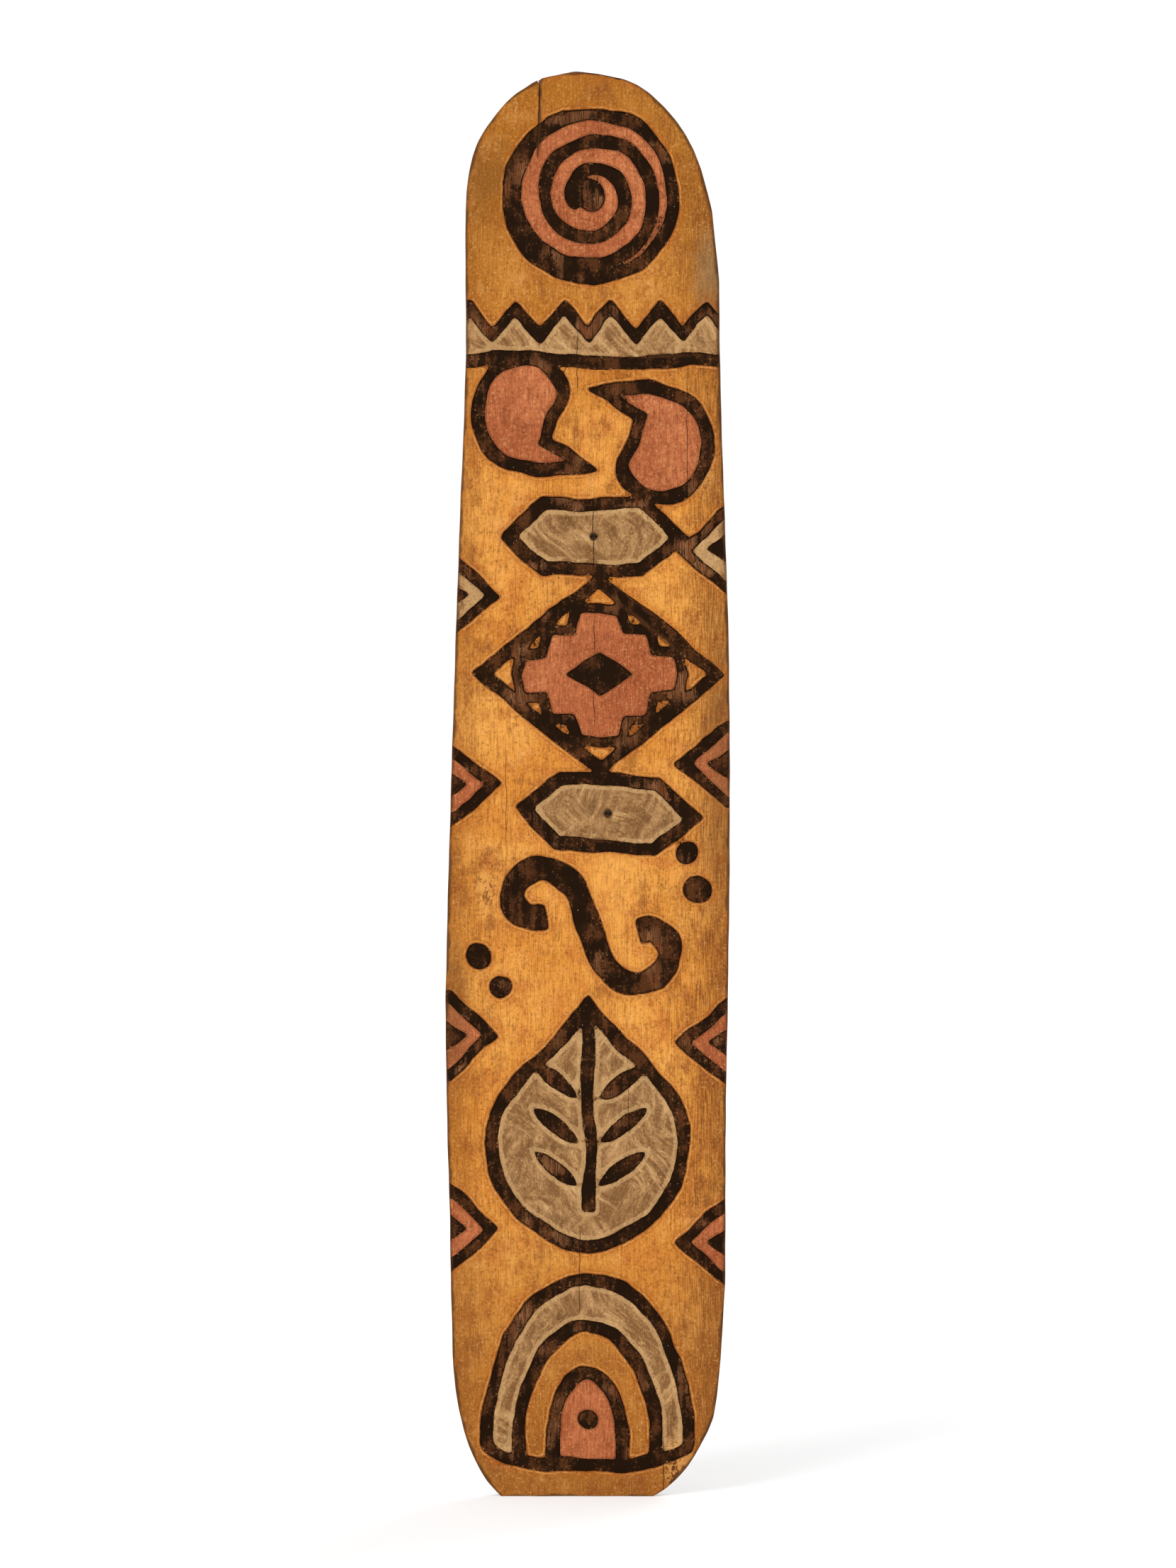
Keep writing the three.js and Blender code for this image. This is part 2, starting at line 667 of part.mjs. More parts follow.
function sideCaneGeometry(side) {
  const bowSteps = 16;
  const rodSteps = 28;
  const rodSides = 8;
  const end = bowAngle(END_WRAP_PLACE + wrapLength(END_WRAP_TURNS) / 2 + SIDE_CANE_OVERHANG);
  const start = Math.PI - end;
  const across = side * (caneRadius + CANE_GAP + sideCaneRadius);
  const points = Array.from({ length: bowSteps + 1 }, (_, i) => bowAt(
    THREE.MathUtils.lerp(start, end, i / bowSteps), across,
  ));
  return rod(points, sideCaneRadius, rodSteps, rodSides);
}

// One strip of split cane wound round the bundle, in turns that lie side by side. Its section
// has four corners, and each loop is two half rounds joined by straights.
function wrapGeometry(middle, turns) {
  const roundSteps = 8;
  const loopSteps = 2 * (roundSteps + 1);
  const innerRadius = caneRadius + STRIP_CLEARANCE;
  const straight = CANE_GAP + SIDE_CANE_DIAMETER;
  const sections = Array.from({ length: turns * loopSteps + 1 }, (_, i) => {
    const step = i % loopSteps;
    const half = step > roundSteps ? -1 : 1;
    const turn = ((step % (roundSteps + 1)) / roundSteps - 1 / 2) * Math.PI;
    const along = middle + (i / loopSteps - turns / 2) * turnPitch;
    return [[1, 0], [1, 1], [-1, 1], [-1, 0]].map(([edge, outside]) => {
      const reach = innerRadius + outside * STRIP_THICKNESS;
      const angle = bowAngle(along + (edge * STRIP_WIDTH) / 2);
      return bowAt(angle, half * (straight + reach * Math.cos(turn)), half * reach * Math.sin(turn));
    });
  });
  const leastGap = Math.min(...sections.slice(loopSteps).map(
    (section, i) => section[3].distanceTo(sections[i][0]),
  ));
  console.log(`Least gap between ${turns} turns of split cane: ${leastGap.toFixed(2)} mm`);
  const cap = (section) => {
    const middlePoint = section[0].clone().lerp(section[2], 1 / 2);
    return section.map(() => middlePoint);
  };
  return surfaceFromRings([cap(sections[0]), ...sections, cap(sections.at(-1))], false);
}

const material = (color, roughness) => new THREE.MeshStandardMaterial({
  color, roughness, metalness: 0,
});
const paintedWood = material(0xc98b43, 0.75);
const cane = material(0x9a6b38, 0.5);
const splitCane = material(0xb08a4e, 0.55);
const wedgeWood = material(0x4a3320, 0.8);

const part = new THREE.Group();

function addTo(group, name, geometry, look) {
  const mesh = new THREE.Mesh(geometry, look);
  mesh.name = name;
  group.add(mesh);
}

addTo(part, 'board', boardGeometry(), paintedWood);
addTo(grip, 'main_cane', mainCaneGeometry(), cane);
addTo(grip, 'left_side_cane', sideCaneGeometry(-1), cane);
addTo(grip, 'right_side_cane', sideCaneGeometry(1), cane);
addTo(grip, 'grip_wrap', wrapGeometry(0, GRIP_WRAP_TURNS), splitCane);
addTo(grip, 'lower_end_wrap', wrapGeometry(-END_WRAP_PLACE, END_WRAP_TURNS), splitCane);
addTo(grip, 'upper_end_wrap', wrapGeometry(END_WRAP_PLACE, END_WRAP_TURNS), splitCane);
for (const { name, hole, z } of ends) {
  addTo(grip, name, wedgeGeometry(wedgeProfile(hole, z, 0), WEDGE_WIDTH, 0), wedgeWood);
}
part.add(grip);

export default part;
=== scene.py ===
"""A long carved and painted board shield with its cane grip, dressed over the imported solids."""
import math
import bmesh
import bpy
import numpy as np
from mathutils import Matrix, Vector, geometry


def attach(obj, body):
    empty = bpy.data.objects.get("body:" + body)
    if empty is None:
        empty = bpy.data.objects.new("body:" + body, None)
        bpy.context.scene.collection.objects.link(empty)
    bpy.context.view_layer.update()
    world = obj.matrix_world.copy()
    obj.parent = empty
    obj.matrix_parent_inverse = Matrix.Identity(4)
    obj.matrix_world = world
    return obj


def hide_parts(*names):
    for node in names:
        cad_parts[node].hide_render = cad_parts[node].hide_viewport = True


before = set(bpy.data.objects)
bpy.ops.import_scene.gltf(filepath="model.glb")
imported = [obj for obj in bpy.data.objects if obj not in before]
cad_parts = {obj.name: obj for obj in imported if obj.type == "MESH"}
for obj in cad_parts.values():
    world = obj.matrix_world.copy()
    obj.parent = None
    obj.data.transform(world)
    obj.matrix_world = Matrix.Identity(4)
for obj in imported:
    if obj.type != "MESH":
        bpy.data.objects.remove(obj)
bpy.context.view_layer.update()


# The camera
# It stands square to the painted front, level with the middle of the picture, and far enough
# off for the board to show next to no perspective.
PICTURE_HEIGHT = 2212
PICTURE_MIDDLE = (829.5, 1106)
AXIS_COLUMN = 829
FOOT_ROW = 2111
METRES_PER_PIXEL = 0.00084
CAMERA_DISTANCE = 6.0
FRONT_FACE_Y = -0.012


def placed(name, data):
    """A new object of the scene, which holds a camera, a lamp or a mesh."""
    made = bpy.data.objects.new(name, data)
    bpy.context.scene.collection.objects.link(made)
    return made


eye = bpy.data.cameras.new("studio_camera")
eye.lens = eye.sensor_width * CAMERA_DISTANCE / (PICTURE_HEIGHT * METRES_PER_PIXEL)
camera = placed("studio_camera", eye)
camera.location = (
    (PICTURE_MIDDLE[0] - AXIS_COLUMN) * METRES_PER_PIXEL,
    FRONT_FACE_Y - CAMERA_DISTANCE,
    (FOOT_ROW - PICTURE_MIDDLE[1]) * METRES_PER_PIXEL,
)
camera.rotation_euler = (math.pi / 2, 0, 0)
bpy.context.scene.camera = camera
bpy.context.scene.view_settings.view_transform = "Standard"


# The light and the floor
# An even white room, with one broad soft light from the upper left, a weaker one from the
# right and one behind. Together they light a face at about the level its colour is written in.
ROOM_LEVEL = 0.56
LIGHTS = [  # name, direction that it shines from, strength, softness in degrees
    ("upper_left_light", (-0.50, -0.75, 0.62), 1.30, 24),
    ("right_light", (0.80, -0.62, 0.20), 0.42, 40),
    ("back_light", (0.45, 0.80, 0.50), 1.10, 30),
]
FLOOR_HALF = 40.0
FLOOR_WHITE = (0.8, 0.8, 0.8, 1)
FLOOR_LIFT = 0.36  # added where the floor is looked at, which makes its lit part white


class Nodes:
    """A tree of nodes that is built one node after another."""

    def __init__(self, tree):
        self.tree = tree

    def node(self, kind, inputs=(), **settings):
        made = self.tree.nodes.new(kind)
        for setting, value in settings.items():
            setattr(made, setting, value)
        for socket, value in dict(inputs).items():
            self.feed(made.inputs[socket], value)
        return made

    def feed(self, socket, value):
        if isinstance(value, bpy.types.NodeSocket):
            self.tree.links.new(value, socket)
        else:
            socket.default_value = value

    def math(self, operation, first, second=0.0):
        return self.node("ShaderNodeMath", {0: first, 1: second}, operation=operation).outputs[0]

    def looked_at(self):
        """1 for what the camera sees, straight or in a gloss or through a glass."""
        path = self.node("ShaderNodeLightPath").outputs
        glossy = self.math("MAXIMUM", path["Is Glossy Ray"], path["Is Transmission Ray"])
        return self.math("MAXIMUM", path["Is Camera Ray"], glossy)


def white_room():
    world = bpy.data.worlds.new("white_room")
    world.use_nodes = True
    room = Nodes(world.node_tree)
    background = world.node_tree.nodes["Background"]
    background.inputs["Color"].default_value = (1, 1, 1, 1)
    added = room.math("MULTIPLY", room.looked_at(), 1 - ROOM_LEVEL)
    room.feed(background.inputs["Strength"], room.math("ADD", added, ROOM_LEVEL))
    bpy.context.scene.world = world


def shine(name, direction, strength, softness):
    sun = bpy.data.lights.new(name, "SUN")
    sun.energy = strength
    sun.angle = math.radians(softness)
    lamp = placed(name, sun)
    lamp.rotation_euler = Vector(direction).to_track_quat("Z", "Y").to_euler()


def white_floor():
    material = bpy.data.materials.new("studio_floor")
    material.use_nodes = True
    floor = Nodes(material.node_tree)
    shader = material.node_tree.nodes["Principled BSDF"]
    shader.inputs["Base Color"].default_value = FLOOR_WHITE
    shader.inputs["Roughness"].default_value = 1.0
    shader.inputs["Specular IOR Level"].default_value = 0.0
    shader.inputs["Emission Color"].default_value = (1, 1, 1, 1)
    floor.feed(
        shader.inputs["Emission Strength"], floor.math("MULTIPLY", floor.looked_at(), FLOOR_LIFT)
    )
    mesh = bpy.data.meshes.new("studio_floor")
    corners = [(-1, -1), (1, -1), (1, 1), (-1, 1)]
    mesh.from_pydata([(x * FLOOR_HALF, y * FLOOR_HALF, 0) for x, y in corners], [], [(0, 1, 2, 3)])
    mesh.materials.append(material)
    sheet = placed("studio_floor", mesh)


white_room()
for light in LIGHTS:
    shine(*light)
white_floor()


# The board
# One plank split out and adzed to shape, crowned on both faces. The design is cut into the
# front, and its lines are blackened and its fields filled with dry earth colours.
BOARD_HEIGHT = 1.690
HALF_WIDTH = 0.169
BOARD_THICKNESS = 0.024
FRONT_CROWN = 0.004
BACK_CROWN = 0.003
TOP_THINNING = 0.003
EDGE_ROUND = 0.004
SHARP_ROUND = 0.0005  # along the split and round the holes
FOOT_ROUND = 0.001
SPLIT_ROUND_GROWTH = 0.3  # how fast the rounding grows with the way from the split
FOOT_ROUND_GROWTH = 0.25  # and with the way up from the foot
RIM_STEPS = 5
BOARD_CREASE = math.radians(38)  # an edge that turns by more than this stays sharp
SPLIT_MIDDLE = -0.0558
SPLIT_HALF = 0.008
SPLIT_TIP = -0.0588
SPLIT_FOOT = 1.584
SPLIT_MOUTH = 1.673
SPLIT_LEAN = 0.030  # how far it leans over for each metre up
SPLIT_CLOSING_share = 0.45
SPLIT_SLANT = -0.005  # from the front to the back
CARVING_DEPTH = 0.0022
WORN_LIP = 0.0003  # how far the edges of the lines are rubbed down
WORN_LIP_REACH = 0.0018
OUTLINE_STEP = 0.002
OUTLINE_SOFTNESS = 0.003
HAND_CUT_WAVER = 0.0005
HAND_CUT_TURNS = (0.21, 0.083)  # radians of its two waves, from one outline point to the next
HOLE_SIDES = 32
HOLE_LOBES = 3
HOLE_LOBE_share = 0.02  # how far out of round the holes are
HOLE_TWIST = 40  # radians for each metre up, which turns the two holes' lobes apart
FRONT_GRID = 0.005
BACK_GRID = 0.007
POINT_DIGITS = 6  # to which points are rounded that have to meet
POINT_TOLERANCE = 0.000001  # under which two points are one
FIELD_CELL = 0.0005
FIELD_MARGIN = 0.009
FIELD_REACH = 0.016
LAST_PLACE = 1.001  # in cells before the end of a row: the last place with a cell on both sides
LEAST_COVER_share = 0.000001
FACING_share = 0.7  # how much of its area a triangle of the front turns to the front at least
LINE_BLUR = 4  # in cells, as the next two
EDGE_BLUR = 2
COLOUR_BLUR = 7
CONTOUR_STRIDE = 4
WALL_TOP = 0.0004  # the walls of the lines stand between these two distances from their edges
WALL_FOOT = -0.0006
HAND_SWINGS = [(0.110, 0.0009), (0.047, 0.0006), (0.021, 0.00022), (0.009, 0.00008)]  # length, reach
HAND_SEEDS = (5, 6)
FRONT_STROKES = (0.018, 0.055, 0.00018, 3)  # width, length, depth and seed of the blade's strokes
BACK_STROKES = (0.030, 0.080, 0.0013, 8)
STROKE_REACH_share = 0.72  # how far a stroke reaches from its middle, as a share of its size

# A point inside each field that is painted pink or grey, as shares of half width and height
PINK_PLACE_shares = [
    (-0.059, 0.9592), (0.588, 0.7379), (-0.515, 0.7591), (0.083, 0.6070), (0, 0.0740),
    (-0.78, 0.499), (0.78, 0.5135), (-0.78, 0.3225), (0.78, 0.3185), (-0.78, 0.188), (0.78, 0.178),
]
GREY_PLACE_shares = [
    (-0.833, 0.8107), (-0.5, 0.8107), (-0.167, 0.8107), (0.167, 0.8107), (0.5, 0.8107),
    (0.833, 0.8107), (0.2, 0.673), (0.32, 0.479), (-0.45, 0.2604), (0.47, 0.2604),
    (0.59, 0.0475), (-0.59, 0.0475), (-0.78, 0.632), (0.78, 0.664),
]


def cad_triangles(node):
    """The corners of a CAD node's triangles, three points in each row."""
    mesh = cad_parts[node].data
    points = np.empty(len(mesh.vertices) * 3, np.float32)
    mesh.vertices.foreach_get("co", points)
    mesh.calc_loop_triangles()
    corners = np.empty(len(mesh.loop_triangles) * 3, np.int32)
    mesh.loop_triangles.foreach_get("vertices", corners)
    return points.astype(float).reshape(-1, 3)[corners].reshape(-1, 3, 3)


def face_at(x, z, crown):
    """Half the board's thickness at a place on its front or back."""
    up = np.maximum(2 * z / BOARD_HEIGHT - 1, 0)
    return BOARD_THICKNESS / 2 - crown * (x / HALF_WIDTH) ** 2 - TOP_THINNING * up**4


def smooth_step(value, low, high):
    share = np.clip((value - low) / (high - low), 0, 1)
    return share * share * (3 - 2 * share)


def loops_at_middle(triangles):
    """The closed loops in which the plane y = 0 cuts a solid, the longest first."""
    joined = {}
    for corners in triangles[(triangles[..., 1].min(1) < 0) & (triangles[..., 1].max(1) >= 0)]:
        ends = []
        for i in range(3):
            p, q = sorted((tuple(corners[i]), tuple(corners[i - 1])))
            if (p[1] < 0) != (q[1] < 0):
                share = p[1] / (p[1] - q[1])
                ends.append(tuple(round(p[k] + share * (q[k] - p[k]), POINT_DIGITS) for k in (0, 2)))
        if ends[0] != ends[1]:
            joined.setdefault(ends[0], []).append(ends[1])
            joined.setdefault(ends[1], []).append(ends[0])
    loops = []
    while joined:
        here, loop = next(iter(joined)), []
        while here is not None:
            loop.append(here)
            here = next((p for p in joined.pop(here) if p in joined), None)
        loops.append(np.array(loop))
    return sorted(loops, key=lambda loop: -np.ptp(loop[:, 1]))


def turned(loop, anticlockwise):
    """The loop, made to run anticlockwise or clockwise as seen from the front."""
    after = np.roll(loop, -1, axis=0)
    area = (loop[:, 0] * after[:, 1] - after[:, 0] * loop[:, 1]).sum()
    return loop if (area > 0) == anticlockwise else loop[::-1]


def smoothed_outline(loop):
    """Even points round the outline, softened between its true corners."""
    least_turn = math.radians(24)
    ahead = np.roll(loop, -1, axis=0) - loop
    heading = np.arctan2(ahead[:, 1], ahead[:, 0])
    turn = np.abs((heading - np.roll(heading, 1) + math.pi) % (2 * math.pi) - math.pi)
    pins = np.flatnonzero(turn > least_turn)
    loop = np.roll(loop, -pins[0], axis=0)
    pins = np.append(pins - pins[0], len(loop))
    closed = np.vstack([loop, loop[:1]])
    runs, corner_at, count = [], [], 0
    for first, last in zip(pins[:-1], pins[1:]):
        run = closed[first:last + 1]
        along = np.append(0, np.cumsum(np.linalg.norm(np.diff(run, axis=0), axis=1)))
        steps = max(int(along[-1] / OUTLINE_STEP), 1)
        places = np.arange(steps) / steps * along[-1]
        runs.append(np.column_stack([np.interp(places, along, run[:, k]) for k in (0, 1)]))
        corner_at.append(count)
        count += steps
    even = np.vstack(runs)
    reach = int(3 * OUTLINE_SOFTNESS / OUTLINE_STEP)
    weights = np.exp(-0.5 * (np.arange(-reach, reach + 1) * OUTLINE_STEP / OUTLINE_SOFTNESS) ** 2)
    soft = sum(
        weight * np.roll(even, shift, axis=0)
        for weight, shift in zip(weights / weights.sum(), range(-reach, reach + 1))
    )
    away = np.abs(np.arange(count)[:, None] - np.array(corner_at))
    from_corner = np.minimum(away, count - away).min(axis=1) * OUTLINE_STEP
    free = smooth_step(from_corner, 0, 4 * OUTLINE_SOFTNESS)[:, None]
    return even + free * (soft - even), free[:, 0]


def inwards(loop):
    """For each point of a loop, the direction into the wood, which lies on its left."""
    along = np.roll(loop, -1, axis=0) - np.roll(loop, 1, axis=0)
    into = np.column_stack([-along[:, 1], along[:, 0]])
    return into / np.linalg.norm(into, axis=1)[:, None]


board_triangles = cad_triangles("board")
outline_loop, *hole_loops = loops_at_middle(board_triangles)
outline, free_share = smoothed_outline(turned(outline_loop, True))
waver = sum(np.sin(np.arange(len(outline)) * turn) for turn in HAND_CUT_TURNS)
outline += inwards(outline) * (free_share * HAND_CUT_WAVER * (2 + waver) / 4)[:, None]
outline[outline[:, 1] < FOOT_ROUND / 10, 1] = 0

# The split, which has closed up again a little
split_line = SPLIT_TIP + SPLIT_LEAN * (outline[:, 1] - SPLIT_FOOT)
in_split = (np.abs(outline[:, 0] - split_line) < SPLIT_HALF / 2) & (outline[:, 1] > SPLIT_FOOT)
below_mouth = smooth_step(outline[:, 1], SPLIT_MOUTH + SPLIT_HALF / 2, SPLIT_MOUTH)
closing = SPLIT_CLOSING_share * in_split * below_mouth
outline[:, 0] += closing * (split_line - outline[:, 0])

# The holes, drilled by hand and slightly out of round
hole_angles = -np.arange(HOLE_SIDES) / HOLE_SIDES * 2 * math.pi
hole_round = np.column_stack([np.cos(hole_angles), np.sin(hole_angles)])
holes = []
for loop in hole_loops:
    middle = loop.mean(axis=0)
    radius = np.linalg.norm(loop - middle, axis=1).mean()
    lobes = np.sin(HOLE_LOBES * hole_angles + middle[1] * HOLE_TWIST)
    uneven = radius * (1 + HOLE_LOBE_share * lobes)
    holes.append((middle, radius, middle + hole_round * uneven[:, None]))

# How near every place of the front is to a line, to the board's edge and to each colour: all
# are worked out on one fine grid of cells, with rows up the board and columns across it.
field_low = outline.min(axis=0) - FIELD_MARGIN
field_shape = tuple(
    np.ceil((outline.max(axis=0) + FIELD_MARGIN - field_low) / FIELD_CELL).astype(int)[::-1]
)


def cells_under(triangles):
    """The cells whose middles lie under one of the triangles, seen from the front."""
    covered = np.zeros(field_shape, dtype=bool)
    for a, b, c in (triangles[:, :, [0, 2]] - field_low) / FIELD_CELL - 0.5:
        left, low = np.maximum(np.floor(np.minimum(np.minimum(a, b), c)).astype(int), 0)
        right, high = np.ceil(np.maximum(np.maximum(a, b), c)).astype(int) + 1
        x, z = np.meshgrid(np.arange(left, right), np.arange(low, high))
        sides = [
            (q[0] - p[0]) * (z - p[1]) - (q[1] - p[1]) * (x - p[0])
            for p, q in ((a, b), (b, c), (c, a))
        ]
        inside = np.minimum.reduce(sides) >= 0
        covered[low:high, left:right] |= inside | (np.maximum.reduce(sides) <= 0)
    return covered


def carried_out(cells, known):
    """The cells' pattern, carried straight on past the ones that are known."""
    steps = int(FIELD_MARGIN / FIELD_CELL)
    sign = np.where(known, np.where(cells, 1, -1), 0).astype(np.int8)
    for _ in range(steps):
        beside = sum(np.roll(sign, shift, axis) for axis in (0, 1) for shift in (1, -1))
        sign = np.where(sign == 0, np.sign(beside), sign).astype(np.int8)
    return sign > 0


def wander(x, z, seed):
    """How far an unsteady hand strays from each place: the sum of some long and short swings."""
    dice = np.random.default_rng(seed)
    shift = np.zeros(x.shape)
    for length, reach in HAND_SWINGS:
        for heading, phase in dice.uniform(0, 2 * math.pi, (2, 2)):
            along = x * math.cos(heading) + z * math.sin(heading)
            shift += reach * np.sin(along * 2 * math.pi / length + phase)
    return shift


def cut_by_hand(cells):
    """The pattern of cells, with its edges made to stray as they do where a hand cut them."""
    row, column = np.mgrid[0:field_shape[0], 0:field_shape[1]]
    x, z = column * FIELD_CELL, row * FIELD_CELL
    across, up = [np.rint(wander(x, z, seed) / FIELD_CELL).astype(int) for seed in HAND_SEEDS]
    column = np.clip(column + across, 0, field_shape[1] - 1)
    row = np.clip(row + up, 0, field_shape[0] - 1)
    return cells[row, column]


def distance_to(cells):
    """How far each cell lies from the nearest that is set, up to the reach of the field."""
    reach = int(FIELD_REACH / FIELD_CELL)
    run = np.where(cells, 0.0, reach)
    for i in range(1, run.shape[1]):
        np.minimum(run[:, i], run[:, i - 1] + 1, out=run[:, i])
    for i in range(run.shape[1] - 2, -1, -1):
        np.minimum(run[:, i], run[:, i + 1] + 1, out=run[:, i])
    run = run**2
    nearest = run.copy()
    for shift in range(1, reach + 1):
        np.minimum(nearest[shift:], run[:-shift] + shift**2, out=nearest[shift:])
        np.minimum(nearest[:-shift], run[shift:] + shift**2, out=nearest[:-shift])
    return np.minimum(np.sqrt(nearest), reach) * FIELD_CELL


def blurred(field, radius):
    """The field softened over a radius in cells."""
    reach = 3 * radius
    weights = np.exp(-0.5 * (np.arange(-reach, reach + 1) / radius) ** 2)
    weights /= weights.sum()
    for axis in (0, 1):
        edges = [(reach, reach) if k == axis else (0, 0) for k in (0, 1)]
        padded = np.pad(field, edges, mode="edge")
        count = field.shape[axis]
        field = sum(
            weight * np.take(padded, range(i, i + count), axis) for i, weight in enumerate(weights)
        )
    return field


def flooded(ground, place_shares):
    """The cells of the ground that are joined to one of the places, by whole rows and columns."""
    filled = np.zeros(field_shape, dtype=bool)
    for share_x, share_z in place_shares:
        place = np.array([share_x * HALF_WIDTH, share_z * BOARD_HEIGHT])
        column, row = ((place - field_low) / FIELD_CELL).astype(int)
        filled[row, column] = ground[row, column]
    before = 0
    while filled.sum() > before:
        before = filled.sum()
        for _ in (0, 1):
            ground, filled = ground.T, filled.T
            stretch = np.cumsum(~ground).reshape(ground.shape)
            touched = np.bincount(stretch[filled], minlength=stretch.max() + 1) > 0
            filled = touched[stretch] & ground
    return filled


def sampled(field, x, z):
    """The field's value at places between its cells."""
    column = np.clip((x - field_low[0]) / FIELD_CELL - 0.5, 0, field_shape[1] - LAST_PLACE)
    row = np.clip((z - field_low[1]) / FIELD_CELL - 0.5, 0, field_shape[0] - LAST_PLACE)
    i, j = column.astype(int), row.astype(int)
    right, up = column - i, row - j
    low = field[j, i] * (1 - right) + field[j, i + 1] * right
    high = field[j + 1, i] * (1 - right) + field[j + 1, i + 1] * right
    return low * (1 - up) + high * up


def contour(field, level, stride):
    """Where a field crosses a level: points on the sides of its cells, and the pairs to join."""
    height = field[::stride, ::stride] - level
    above = height > 0
    across = np.argwhere(above[:, :-1] != above[:, 1:])
    upright = np.argwhere(above[:-1] != above[1:])
    side_across = np.full(height.shape, -1)
    side_upright = np.full(height.shape, -1)
    side_across[tuple(across.T)] = np.arange(len(across))
    side_upright[tuple(upright.T)] = len(across) + np.arange(len(upright))
    points = []
    for sides, step in ((across, (0, 1)), (upright, (1, 0))):
        here = height[tuple(sides.T)]
        there = height[tuple((sides + step).T)]
        points.append(sides + np.outer(here / (here - there), step))
    points = np.vstack(points)[:, ::-1] * stride * FIELD_CELL + field_low + FIELD_CELL / 2
    cells = np.stack([
        side_across[:-1, :-1], side_upright[:-1, 1:], side_across[1:, :-1], side_upright[:-1, :-1],
    ], axis=-1).reshape(-1, 4)
    crossed = (cells >= 0).sum(axis=1)
    pairs = [tuple(cell[cell >= 0]) for cell in cells[crossed == 2]]
    for bottom, right, top, left in cells[crossed == 4]:
        pairs += [(bottom, right), (top, left)]
    return points, pairs


down = np.cross(
    board_triangles[:, 1] - board_triangles[:, 0], board_triangles[:, 2] - board_triangles[:, 0]
)
facing_front = down[:, 1] < -FACING_share * np.linalg.norm(down, axis=1)
centre = board_triangles.mean(axis=1)
below_front = centre[:, 1] + face_at(centre[:, 0], centre[:, 2], FRONT_CROWN)
front_cells = cells_under(board_triangles[facing_front])
floor_cells = cells_under(board_triangles[facing_front & (below_front > CARVING_DEPTH / 2)])
line_cells = cut_by_hand(carried_out(floor_cells, front_cells))
line_distance = blurred(distance_to(line_cells) - distance_to(~line_cells), LINE_BLUR)
edge_distance = blurred(distance_to(~front_cells), EDGE_BLUR)
ground_cells = front_cells & ~line_cells
covered_share = blurred(ground_cells.astype(float), COLOUR_BLUR) + LEAST_COVER_share


def painted_share(place_shares):
    """How much of the ground round each cell belongs to the fields at some places."""
    share = blurred(flooded(ground_cells, place_shares).astype(float), COLOUR_BLUR)
    return np.minimum(share / covered_share, 1)


pink_share = painted_share(PINK_PLACE_shares)
grey_share = painted_share(GREY_PLACE_shares)


def strokes(x, z, width, length, depth, seed):
    """How far the strokes of a blade leave each place below the smooth face."""
    table = 64
    dice = np.random.default_rng(seed).random((table, table, 2))
    column, row = np.floor(x / width).astype(int), np.floor(z / length).astype(int)
    nearest = np.full(x.shape, STROKE_REACH_share)
    for i in (-1, 0, 1):
        for j in (-1, 0, 1):
            jitter = dice[(column + i) % table, (row + j) % table]
            across = x / width - (column + i + jitter[..., 0])
            along = z / length - (row + j + jitter[..., 1])
            nearest = np.minimum(nearest, np.hypot(across, along))
    return depth * (1 - (nearest / STROKE_REACH_share) ** 2)


def front_at(x, z, drop=0.0):
    """y of the carved front, where the rounded rim has already dropped by so much."""
    distance = sampled(line_distance, x, z)
    cut = CARVING_DEPTH * (1 - np.clip((distance - WALL_FOOT) / (WALL_TOP - WALL_FOOT), 0, 1))
    lip = WORN_LIP * np.exp(-np.maximum(distance - WALL_TOP, 0) / WORN_LIP_REACH)
    marks = strokes(x, z, *FRONT_STROKES)
    return -face_at(x, z, FRONT_CROWN) + np.maximum(np.maximum(cut, lip), drop) + marks


def back_at(x, z, drop=0.0):
    return face_at(x, z, BACK_CROWN) - drop - strokes(x, z, *BACK_STROKES)


def rim_rings(loop, rounding):
    """Rings round an edge, from the front face over the side to the back face."""
    into = inwards(loop)
    front, back = [], []
    for turn in np.linspace(math.pi / 2, 0, RIM_STEPS):
        inset = (rounding * (1 - math.cos(turn)))[:, None] * into
        drop = rounding * (1 - math.sin(turn))
        x, z = (loop + inset).T
        front.append(np.column_stack([x, front_at(x, z, drop), z]))
        back.append(np.column_stack([x, back_at(x, z, drop), z]))
    worn_in = into * (SHARP_ROUND / 2)
    middle = (front[-1] + back[-1]) / 2
    middle[:, [0, 2]] += worn_in
    return [*front, middle, *reversed(back)]


def distance_inside(loops):
    """How far inside the outline and outside the holes each cell lies."""
    inside = np.zeros(field_shape, dtype=bool)
    rows = field_low[1] + (np.arange(field_shape[0]) + 0.5) * FIELD_CELL
    for loop in loops:
        for (x0, z0), (x1, z1) in zip(loop, np.roll(loop, -1, axis=0)):
            crossed = np.flatnonzero((rows > min(z0, z1)) & (rows <= max(z0, z1)))
            if len(crossed):
                x = x0 + (rows[crossed] - z0) / (z1 - z0) * (x1 - x0)
                columns = np.clip(((x - field_low[0]) / FIELD_CELL + 0.5).astype(int), 0, None)
                inside[crossed, columns] ^= True
    inside = np.logical_xor.accumulate(inside, axis=1)
    return distance_to(~inside)


